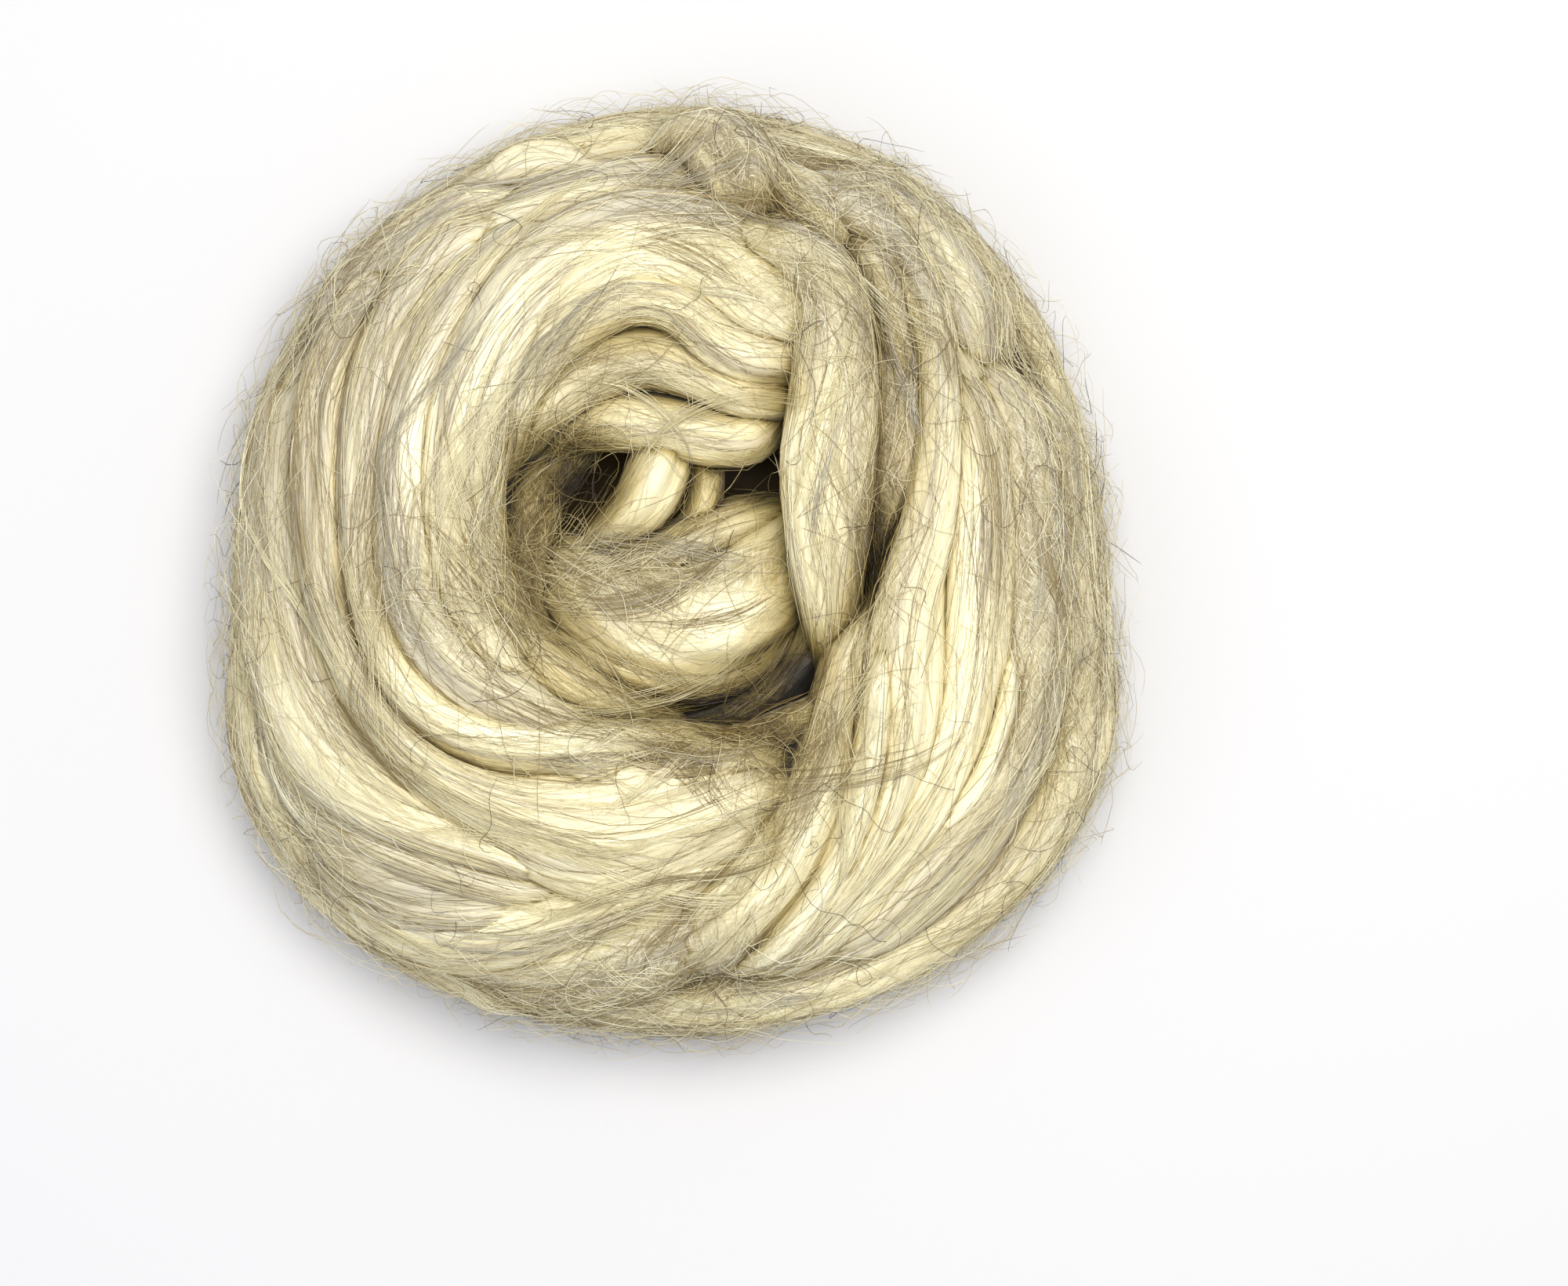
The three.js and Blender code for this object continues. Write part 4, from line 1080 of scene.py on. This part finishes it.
def combedWoolMaterial(m):
    material, tree = newMaterial("combedWool")
    laid = addNode(tree, "ShaderNodeUVMap", uv_map="laid").outputs["UV"]
    fineAt = addNode(tree, "ShaderNodeMapping", {"Scale": (1 / m["streakWidth"], 1 / m["streakLength"], 1)},
                     {"Vector": laid}).outputs[0]
    lockAt = addNode(tree, "ShaderNodeMapping", {"Scale": (1 / m["lockWidth"], 1 / m["lockLength"], 1)},
                     {"Vector": laid}).outputs[0]
    fine = addNode(tree, "ShaderNodeTexNoise", {"Scale": 1.0, "Detail": 2.0, "Roughness": 0.6},
                   {"Vector": fineAt}, noise_dimensions="2D").outputs["Fac"]
    lock = addNode(tree, "ShaderNodeTexNoise", {"Scale": 1.0, "Detail": 3.0, "Roughness": 0.55},
                   {"Vector": lockAt}, noise_dimensions="2D").outputs["Fac"]
    streak = addNode(tree, "ShaderNodeMix", {"Factor": 0.5}, data_type="FLOAT", links={"A": fine, "B": lock})
    frizzed = frizzPattern(tree, laid, m)
    frizzy = addNode(tree, "ShaderNodeAttribute", attribute_name="frizz").outputs["Fac"]
    streak = addNode(tree, "ShaderNodeMix", data_type="FLOAT",
                     links={"Factor": frizzy, "A": streak.outputs[0], "B": frizzed}).outputs[0]
    # Painted shade in the gaps between the frizzed streaks, where the wool is frizzy.
    between = addNode(tree, "ShaderNodeMath", {0: 1.0}, {1: frizzed}, operation="SUBTRACT").outputs[0]
    gapShade = addNode(tree, "ShaderNodeMath", links={0: between, 1: frizzy}, operation="MULTIPLY").outputs[0]
    gapShade = addNode(tree, "ShaderNodeMath", {1: m["frizzGapShade"]}, {0: gapShade}, operation="MULTIPLY").outputs[0]
    colour = None
    for kind in ("cream", "tan", "grey", "silkAndPaintedHighlight"):
        ramp = addNode(tree, "ShaderNodeValToRGB", links={"Fac": streak})
        setStops(ramp, m[kind])
        if colour is None:
            colour = ramp.outputs["Color"]
            continue
        much = addNode(tree, "ShaderNodeAttribute", attribute_name=kind).outputs["Fac"]
        uneven = addNode(tree, "ShaderNodeMath", dict(zip((1, 2), m["patchy"])), {0: fine},
                         operation="MULTIPLY_ADD")
        share = addNode(tree, "ShaderNodeMath", links={0: much, 1: uneven.outputs[0]}, operation="MULTIPLY",
                        use_clamp=True).outputs[0]
        mixed = addNode(tree, "ShaderNodeMix", data_type="RGBA")
        tree.links.new(share, mixed.inputs["Factor"])
        tree.links.new(colour, mixed.inputs[6])
        tree.links.new(ramp.outputs["Color"], mixed.inputs[7])
        colour = mixed.outputs[2]
    colour = withPaintedShade(tree, colour, gapShade)
    rough = addNode(tree, "ShaderNodeMapRange", {"To Min": m["roughness"][0], "To Max": m["roughness"][1]},
                    {"Value": fine})
    relief = {"Strength": m["bumpStrength"], "Distance": m["bumpHeight"] * toMetres}
    bump = addNode(tree, "ShaderNodeBump", relief, {"Height": streak})
    tangent = addNode(tree, "ShaderNodeTangent", direction_type="UV_MAP", uv_map="laid")
    shader = addNode(tree, "ShaderNodeBsdfPrincipled",
                     {"IOR": m["ior"], "Sheen Weight": m["sheen"], "Sheen Roughness": m["sheenRoughness"],
                      "Sheen Tint": linearColour("#FFF8DC"), "Anisotropic": m["anisotropy"]},
                     {"Base Color": colour, "Roughness": rough.outputs[0], "Normal": bump.outputs[0],
                      "Tangent": tangent.outputs[0]})
    addNode(tree, "ShaderNodeOutputMaterial", links={"Surface": shader.outputs[0]})
    return material


# Single fibres, each with its darkest, middle and palest tone. Silk and fine wool are smooth and translucent,
# so they shine; flax-like bast and kemp are duller.
fibreKinds = {
    "silkFibres": {"tones": ("#EBE0B2", "#FAF2CC", "#FFFDE8"), "roughness": 0.28, "specular": 0.8},
    "creamFibres": {"tones": ("#D8CC9E", "#E9DFB4", "#F7F0CE"), "roughness": 0.36, "specular": 0.6},
    "tanFibres": {"tones": ("#6A5836", "#9C885A", "#CDBD91"), "roughness": 0.48, "specular": 0.5},
    "greyFibres": {"tones": ("#7F7666", "#B8B09D", "#E6E1D1"), "roughness": 0.46, "specular": 0.5},
    "looseFibres": {"tones": ("#B5A678", "#E6DBB0", "#FFFAE0"), "roughness": 0.38, "specular": 0.6,
                    "middle": 0.4},
    "bastFibres": {"tones": ("#6B5A39", "#9A875E", "#C9B98E"), "roughness": 0.46, "specular": 0.5},
    "haloFibres": {"tones": ("#8F8263", "#C9BC95", "#EFE7C8"), "roughness": 0.4, "specular": 0.5},
    "kempHairs": {"tones": ("#1E1712", "#43352A", "#7A6853"), "roughness": 0.4, "specular": 0.5},
}
fibreGrain = {"scale": 260.0, "amount": 0.3, "ior": 1.55}  # the tone changes a little along and round a fibre


def fibreMaterial(name, kind):
    material, tree = newMaterial(name)
    shade = addNode(tree, "ShaderNodeAttribute", attribute_name="shade").outputs["Fac"]
    along = addNode(tree, "ShaderNodeUVMap", uv_map="OFBake").outputs["UV"]
    grain = addNode(tree, "ShaderNodeTexNoise", {"Scale": fibreGrain["scale"], "Detail": 2.0},
                    {"Vector": along}, noise_dimensions="2D").outputs["Fac"]
    varied = addNode(tree, "ShaderNodeMath", {1: fibreGrain["amount"]}, {0: grain, 2: shade},
                     operation="MULTIPLY_ADD").outputs[0]
    centred = addNode(tree, "ShaderNodeMath", {1: fibreGrain["amount"] / 2}, {0: varied},
                      operation="SUBTRACT", use_clamp=True)
    ramp = addNode(tree, "ShaderNodeValToRGB", links={"Fac": centred.outputs[0]})
    setStops(ramp, list(zip((0.0, kind.get("middle", 0.5), 1.0), kind["tones"])))
    shader = addNode(tree, "ShaderNodeBsdfPrincipled",
                     {"Roughness": kind["roughness"], "IOR": fibreGrain["ior"],
                      "Specular IOR Level": kind["specular"]},
                     {"Base Color": withPaintedShade(tree, ramp.outputs["Color"])})
    addNode(tree, "ShaderNodeOutputMaterial", links={"Surface": shader.outputs[0]})
    return material


# The core only shows deep between strands, so it is painted brown and dark as shade.
coreToneAndShade = {"tan": 0.8, "grey": 0.2, "open": 0.1}
coreMap = {"rolls": (-92.0, 182.0), "radius": 0.49, "laidPerDegree": 1.5}


def coreMesh():
    points, roll, angle = corePoints()
    rings, count = points.shape[:2]
    flat = np.vstack((points.reshape(-1, 3), points[0].mean(0)[None], points[-1].mean(0)[None]))
    j = np.arange(count)
    k, last, middle = (j + 1) % count, (rings - 1) * count, rings * count
    caps = np.vstack((np.stack((j, k, np.full(count, middle)), 1),
                      np.stack((last + k, last + j, np.full(count, middle + 1)), 1)))
    faces = [gridQuads(rings, count)[:, ::-1], caps]
    corner = np.concatenate([f.ravel() for f in faces])
    roll = np.append(roll.ravel(), (-90, 180))
    angle = np.append(angle.ravel(), (0, 0))
    turn = np.radians(angle)
    first, last = coreMap["rolls"]
    fromMiddle = coreMap["radius"] * ((roll - first) / (last - first))[:, None]
    bake = 0.5 + fromMiddle * rowsOf((np.cos(turn), np.sin(turn)))
    plain = np.zeros(len(flat))
    mix = fibreMix(flat, plain, {"tan": plain, "grey": plain, "silkAndPaintedHighlight": plain})
    mix["tan"], mix["grey"] = np.maximum(mix["tan"], coreToneAndShade["tan"]), coreToneAndShade["grey"] * mix["grey"]
    # Painted shade: the core's openness is set low, and lower still at the shade places.
    mix["open"] = coreToneAndShade["open"] * (1 - darkAt(flat))
    mix["frizz"] = plain
    maps = {"OFBake": bake[corner], "laid": rowsOf((roll, angle))[corner] * coreMap["laidPerDegree"]}
    return meshFrom("woundCore", flat, faces, maps, mix)


woolMaterial = combedWoolMaterial(combedWool)
addPiece("woundCore", coreMesh(), woolMaterial, "roving")
groups = {
    "sideTurns": list(turns),
    "leftTurns": [name for name, spec in overStrands.items() if spec["group"] == "leftTurns"],
    "rightTurns": [name for name, spec in overStrands.items() if spec["group"] == "rightTurns"],
    "middleFolds": list(folds),
    "innerTurns": list(innerTurns),
}
byName = {strand["name"]: strand for strand in strands}
for groupName, members in groups.items():
    mesh = strandMesh(groupName, [byName[name] for name in members])
    addPiece(groupName, mesh, woolMaterial, "roving")


def fibreMesh(name, paths, outs, radii, shades, opens):
    # Each fibre is a closed three-sided tube along its path.
    count, length = paths.shape[:2]
    along = runAlong(paths)
    side = unit(np.cross(along, outs))
    over = np.cross(side, along)
    rings = []
    for k in range(3):
        angle = 2 * math.pi * k / 3 + math.pi / 2
        rings.append(paths + (side * math.cos(angle) + over * math.sin(angle)) * radii[..., None])
    points = np.stack(rings, axis=2)  # fibre, step, side
    points[..., 2] = np.maximum(points[..., 2], 0.0)
    f, i, k = np.meshgrid(np.arange(count), np.arange(length - 1), np.arange(3), indexing="ij")
    f, i, k = f.ravel(), i.ravel(), k.ravel()
    m = (k + 1) % 3
    base = f * length * 3
    quads = np.stack((base + i * 3 + k, base + (i + 1) * 3 + k, base + (i + 1) * 3 + m, base + i * 3 + m), 1)
    tips = np.arange(count) * length * 3
    last = tips + (length - 1) * 3
    caps = np.vstack((np.stack((tips, tips + 1, tips + 2), 1), np.stack((last + 2, last + 1, last), 1)))
    # On the map each fibre has its own cell, six times as long as it is high, with its end caps beside it.
    columns = max(1, int(math.sqrt(count / 6)))
    rows = math.ceil(count / columns)
    gapX, gapY = 0.04, 0.1

    def onMap(fibre, x, y):
        return rowsOf(((fibre % columns + x) / columns, (fibre // columns + y) / rows))

    x0, x1 = (gapX + (1 - 2 * gapX) * (i + step) / (length - 1) for step in (0, 1))
    y0, y1 = (gapY + (1 - 2 * gapY) * (k + step) / 3 for step in (0, 1))
    quadMap = np.stack([onMap(f, x, y) for x, y in ((x0, y0), (x1, y0), (x1, y1), (x0, y1))], 1)
    one = np.arange(count)
    capMap = [np.stack([onMap(one, x, y) for x, y in ((start, 0.1), (start, 0.9), (start + 0.02, 0.5))], 1)
              for start in (0.01, 0.97)]
    maps = np.vstack((quadMap.reshape(-1, 2), np.vstack(capMap).reshape(-1, 2)))
    values = {"shade": np.repeat(shades, length * 3), "open": np.repeat(opens.ravel(), 3)}
    return meshFrom(name, points.reshape(-1, 3), [quads, caps], {"OFBake": maps}, values)


laidFibres = {
    "count": 8800, "steps": 7, "length": (30.0, 74.0), "radius": (0.05, 0.1),
    "slope": 0.035,  # how far a fibre strays from its lock, as a share of its length
    "frizzSlope": 0.3,  # and how much more where the wool is frizzy
    "bend": 0.03, "frizzBend": 0.12, "bendLength": 20.0,
    "frizzLost": 0.6,  # share that frizzy wool does without, for its loose fibres
    "lift": (0.05, 0.4), "liftSpread": 0.12, "sunk": 0.16,
    "archShare": 0.07, "frizzArchShare": 0.3, "archHeight": (0.3, 1.4),  # some bow up off the strand
    "sideShare": 0.4,  # share kept of the places that only show from the side
}


def layFibres(f):
    starts = startsOnStrands(f["count"], f["sideShare"])
    steps = np.linspace(-0.5, 0.5, f["steps"])
    found = {"path": [], "out": [], "kind": [], "open": []}
    for k, strand in enumerate(strands):
        mine = starts[starts[:, 0] == k]
        if not len(mine):
            continue
        n = len(mine)
        length = np.minimum(dice.uniform(*f["length"], n), 0.9 * strand["length"])
        s = np.clip(mine[:, 1:2] + steps * length[:, None], 0.3, strand["length"] - 0.3)
        meanRadius = 0.5 * (strand["halfWidth"].mean() + strand["halfThickness"].mean())
        start, _ = strandFace(strand, mine[:, 1], mine[:, 2])
        wild = np.clip(frizzAt(start) / 2.0, 0, 1.2)[:, None]
        kept = dice.random(n) > f["frizzLost"] * wild[:, 0]
        mine, length, s, start, wild = mine[kept], length[kept], s[kept], start[kept], wild[kept]
        n = len(mine)
        slope = dice.normal(0, 1, (n, 1)) * (f["slope"] + f["frizzSlope"] * wild)
        bend = dice.normal(0, 1, (n, 1)) * (f["bend"] + f["frizzBend"] * wild)
        centre = mine[:, 1:2]
        phi = (mine[:, 2:3] + windAt(strand, s) - windAt(strand, centre + 0 * s)
               + slope * (s - centre) / meanRadius + bend * ((s - centre) / f["bendLength"]) ** 2)
        lift = np.abs(dice.normal(0, f["liftSpread"], (n, 1))) + dice.uniform(*f["lift"], (n, 1)) - f["sunk"]
        arches = dice.random((n, 1)) < f["archShare"] + f["frizzArchShare"] * wild
        arched = lift + arches * dice.uniform(*f["archHeight"], (n, 1)) * (1 - 4 * steps ** 2)
        points, out = strandFace(strand, s, phi, arched)
        mix = fibreMix(start, streakAt(strand, mine[:, 1], mine[:, 2]), toneAlong(strand, mine[:, 1]))
        found["path"].append(points)
        found["out"].append(out)
        found["kind"].append(np.minimum(kindsFrom(mix), 3))
        found["open"].append(openAt(strand, s, phi))
    return [np.concatenate(parts) for parts in found.values()]


fourKinds = ("silk", "cream", "tan", "grey")
kindShares = {"leastSilk": 0.12, "silk": 1.6, "cream": 0.8, "creamLost": 0.85, "tan": 1.6, "grey": 1.4}


def kindWeights(mix):
    # How likely a fibre is silk, cream, tan or grey. There is less cream fibre where there is more tan.
    f = kindShares
    cream = f["cream"] * (1 - f["creamLost"] * mix["tan"])
    return np.stack((f["leastSilk"] + f["silk"] * mix["silkAndPaintedHighlight"], cream, f["tan"] * mix["tan"],
                     f["grey"] * mix["grey"]), -1)


def kindsFrom(mix):
    # Which of the four kinds each fibre is, by a throw of the dice.
    weights = kindWeights(mix)
    edges = np.cumsum(weights / weights.sum(1, keepdims=True), 1)
    return (dice.random((len(weights), 1)) > edges).sum(1)


def tapered(count, steps, radius):
    # Radii along each fibre, thin at both ends.
    taper = np.interp(np.linspace(-1, 1, steps), (-1, -0.7, 0.7, 1), (0.35, 1, 1, 0.35))
    return dice.uniform(*radius, (count, 1)) * taper


laidShade = (0.55, 0.15)  # mean and spread: 0 is a kind's darkest tone and 1 its palest


def addByKind(ending, paths, outs, kinds, opens, radius):
    # One piece for each of the four kinds of fibre.
    for number, kind in enumerate(fourKinds):
        mine = kinds == number
        amount = int(mine.sum())
        shades = np.clip(dice.normal(*laidShade, amount), 0, 1)
        radii = tapered(amount, paths.shape[1], radius)
        mesh = fibreMesh(kind + ending, paths[mine], outs[mine], radii, shades, opens[mine])
        addPiece(kind + ending, mesh, fourMaterials[number])


fourMaterials = [fibreMaterial(kind + "Fibres", fibreKinds[kind + "Fibres"]) for kind in fourKinds]
addByKind("Fibres", *layFibres(laidFibres), laidFibres["radius"])

# Wisps are thin bundles of fibre that have slid over the strands and bridge the grooves between them.
wisps = {
    "count": 250, "fibres": 19, "steps": 8, "length": (34.0, 95.0), "radius": (0.05, 0.1),
    "spread": (0.8, 2.8),  # half the width that most of a wisp's fibres lie within
    "endWidth": 0.55,  # of the width in the middle
    "from": (0, 0.35), "share": (0.5, 0.65),  # where on the wisp a fibre starts, and how much of it it takes
    "turned": 5.0, "frizzTurned": 17.0,  # degrees off the run of the strand, and how much more in frizzy wool
    "frizzShorter": 0.45, "walkSteps": 12, "curl": 1.6, "follow": 0.3,
    "longestSpan": 6.0,  # a wisp that would stand further off the wool is left out
    "waver": 0.16, "lift": (0.25, 1.3), "off": (0.05, 0.25),
    "ownKind": 0.8,  # share of the fibres that are of the wisp's main kind
    "wildest": 3.0,  # the frizz at which a wisp is as wild as it gets
}


def opennessAlong(paths, ups):
    return opennessOf(paths.reshape(-1, 3), ups.reshape(-1, 3), fibreRays).reshape(paths.shape[:2])


def wispWeight(points):
    return 0.5 + frizzAt(points)


def layWisps(w):
    points, runs, much = placesAndRuns(w["count"], wispWeight)
    count, steps = len(points), w["steps"]
    wild = np.clip(much / w["wildest"], 0, 1)
    turned = dice.normal(0, 1, count) * (w["turned"] + w["frizzTurned"] * wild)
    turned += 180 * (dice.random(count) < 0.5)
    lengths = dice.uniform(*w["length"], count) * (1 - w["frizzShorter"] * wild)
    centre, ups, spans = walkOver(points, runs, w["walkSteps"], lengths, turned, w["curl"] * (1 + 2 * wild),
                                  w["follow"])
    flat = {"tan": np.zeros(count), "grey": np.zeros(count), "silkAndPaintedHighlight": np.zeros(count)}
    kind = kindsFrom(fibreMix(points, dice.normal(0, 0.5, count), flat))
    paths, kinds, height = [], [], []
    for k in range(count):
        if spans[k] > w["longestSpan"]:
            continue
        n = w["fibres"]
        t = np.linspace(0, 1, w["walkSteps"])
        at = dice.uniform(*w["from"], (n, 1)) + np.linspace(0, 1, steps) * dice.uniform(*w["share"], (n, 1))
        spread = dice.uniform(*w["spread"])
        line = rowsOf([np.interp(at, t, centre[k, :, c]) for c in range(3)])
        up = unit(rowsOf([np.interp(at, t, ups[k, :, c]) for c in range(3)]))
        across = unit(np.cross(up, runAlong(line)))
        belly = w["endWidth"] + (1 - w["endWidth"]) * np.sin(np.pi * at)
        off = dice.normal(0, 1, (n, 1)) * spread * belly + dice.normal(0, w["waver"], (n, steps))
        paths.append(line + across * off[..., None])
        kinds.append(np.where(dice.random(n) < w["ownKind"], kind[k], dice.integers(0, 4, n)))
        crown = dice.uniform(*w["lift"]) * np.exp(-(off / spread) ** 2 / 2)
        height.append(crown + dice.uniform(*w["off"], (n, 1)))
    paths, kinds, height = np.concatenate(paths), np.minimum(np.concatenate(kinds), 3), np.concatenate(height)
    onWool, outs, _ = ontoWool(paths.reshape(-1, 3))
    outs = outs.reshape(paths.shape)
    paths = bridged(onWool.reshape(paths.shape), outs) + outs * height[..., None]
    return paths, outs, kinds, opennessAlong(paths, outs)


addByKind("Wisps", *layWisps(wisps), wisps["radius"])

# Loose fibres cross from strand to strand.
looseFibres = {
    "count": 3300, "steps": 9, "length": (7.0, 28.0), "radius": (0.06, 0.115),
    "turned": 50.0,  # degrees off the run of the strand, as a spread
    "curl": 17.0,  # degrees it wanders at each step
    "lift": (0.15, 1.6), "rise": (0.3, 3.0), "riseShare": 0.3,
    "riseFrom": (30, 105),  # the ends rise off the wool from the first radius, and fully at the second
    "longestSpan": (1.5, 5.0), "shade": (0.6, 0.24),
}

# Bast is stiffer, straighter and longer.
bastFibres = {**looseFibres, "count": 1500, "length": (9.0, 36.0), "radius": (0.05, 0.095), "curl": 10.0}

# Fibres that fray out along the outline.
haloFibres = {
    **looseFibres, "count": 1700, "length": (10.0, 38.0), "radius": (0.05, 0.1),
    "turned": 36.0, "curl": 18.0, "lift": (0.3, 5.5), "rise": (0.5, 10.0), "riseShare": 0.55,
}


def raised(walk, ups, lift, rise):
    # Each fibre arches off the wool, and rise lifts its far end.
    along = np.linspace(0, 1, walk.shape[1])
    arch = np.sin(np.pi * along)[None] * dice.uniform(*lift, (len(walk), 1)) + 0.12
    return walk + ups * (arch + rise[:, None] * along ** 2)[..., None]


def addLoose(name, f, weigh):
    points, runs, much = placesAndRuns(f["count"], weigh)
    count = len(points)
    wild = np.clip(much / 2.5, 0.3, 1.4)
    turned = dice.normal(0, f["turned"], count) * wild + 180 * (dice.random(count) < 0.5)
    lengths = dice.uniform(*f["length"], count)
    radius = np.hypot(points[:, 0], points[:, 1])
    rise = (dice.random(count) < f["riseShare"]) * dice.uniform(*f["rise"], count)
    rise *= smoothStep(radius, *f["riseFrom"])
    walk, ups, spans = walkOver(points, runs, f["steps"], lengths, turned, f["curl"] * wild, 0.0)
    paths = raised(walk, ups, f["lift"], rise)
    kept = spans < dice.uniform(*f["longestSpan"], count)
    paths, ups = paths[kept], ups[kept]
    radii = tapered(len(paths), f["steps"], f["radius"])
    shades = np.clip(dice.normal(*f["shade"], len(paths)), 0, 1)
    mesh = fibreMesh(name, paths, ups, radii, shades, opennessAlong(paths, ups))
    addPiece(name, mesh, fibreMaterial(name, fibreKinds[name]))


def looseWeight(points):
    # How likely a pale loose fibre starts at a place. There are fewer where bast takes over.
    return frizzAt(points) * (1 - 0.6 * tanAt(points))


def bastWeight(points):
    # Hardly any bast lies where the wool is smooth.
    return (frizzAt(points) - 0.13) * (0.15 + tanAt(points))


def haloWeight(points):
    # Nearly all of the halo starts in the outer tenth of the nest.
    angle = np.degrees(np.arctan2(points[..., 1], points[..., 0]))
    outline = np.hypot(points[..., 0], points[..., 1]) / outlineRadius(angle)
    return 0.01 + smoothStep(outline, 0.9, 0.97) * (0.5 + frizzAt(points))


def tanAt(points):
    # How much tan fibre the patches alone bring to these points.
    plain = np.zeros(points.shape[:-1])
    return fibreMix(points, plain, {"tan": plain, "grey": plain, "silkAndPaintedHighlight": plain})["tan"]


addLoose("looseFibres", looseFibres, looseWeight)
addLoose("bastFibres", bastFibres, bastWeight)
addLoose("haloFibres", haloFibres, haloWeight)

# Kemp: the few coarse dark hairs that combing leaves in, springy, and standing out most at the edges.
kempHairs = {
    "count": 260, "steps": 14, "length": (8.0, 36.0), "radius": (0.05, 0.1), "turned": 55, "curl": 17.0,
    "lift": (0.3, 2.4), "rise": (0.0, 9.5), "riseShare": 0.7, "riseFrom": (60, 110),
}


def kempWeight(points):
    # Most of the hairs stand at the outline.
    radius = np.hypot(points[:, 0], points[:, 1])
    return 0.1 + 0.8 * smoothStep(radius, 92, 112) + 0.25 * frizzAt(points)


def addKemp(f):
    points, runs, _ = placesAndRuns(f["count"], kempWeight)
    count = len(points)
    turned = dice.normal(0, f["turned"], count) + 180 * (dice.random(count) < 0.5)
    lengths = dice.uniform(*f["length"], count)
    radius = np.hypot(points[:, 0], points[:, 1])
    rise = dice.uniform(*f["rise"], count) * smoothStep(radius, *f["riseFrom"])
    rise *= dice.random(count) < f["riseShare"]
    walk, ups, _ = walkOver(points, runs, f["steps"], lengths, turned, np.full(count, f["curl"]), 0.0)
    paths = raised(walk, ups, f["lift"], rise)
    taper = np.interp(np.linspace(0, 1, f["steps"]), (0, 0.8, 1), (1, 0.8, 0.4))
    radii = dice.uniform(*f["radius"], (count, 1)) * taper
    mesh = fibreMesh("kempHairs", paths, ups, radii, dice.random(count), np.ones(paths.shape[:2]))
    addPiece("kempHairs", mesh, fibreMaterial("kempHairs", fibreKinds["kempHairs"]))


addKemp(kempHairs)
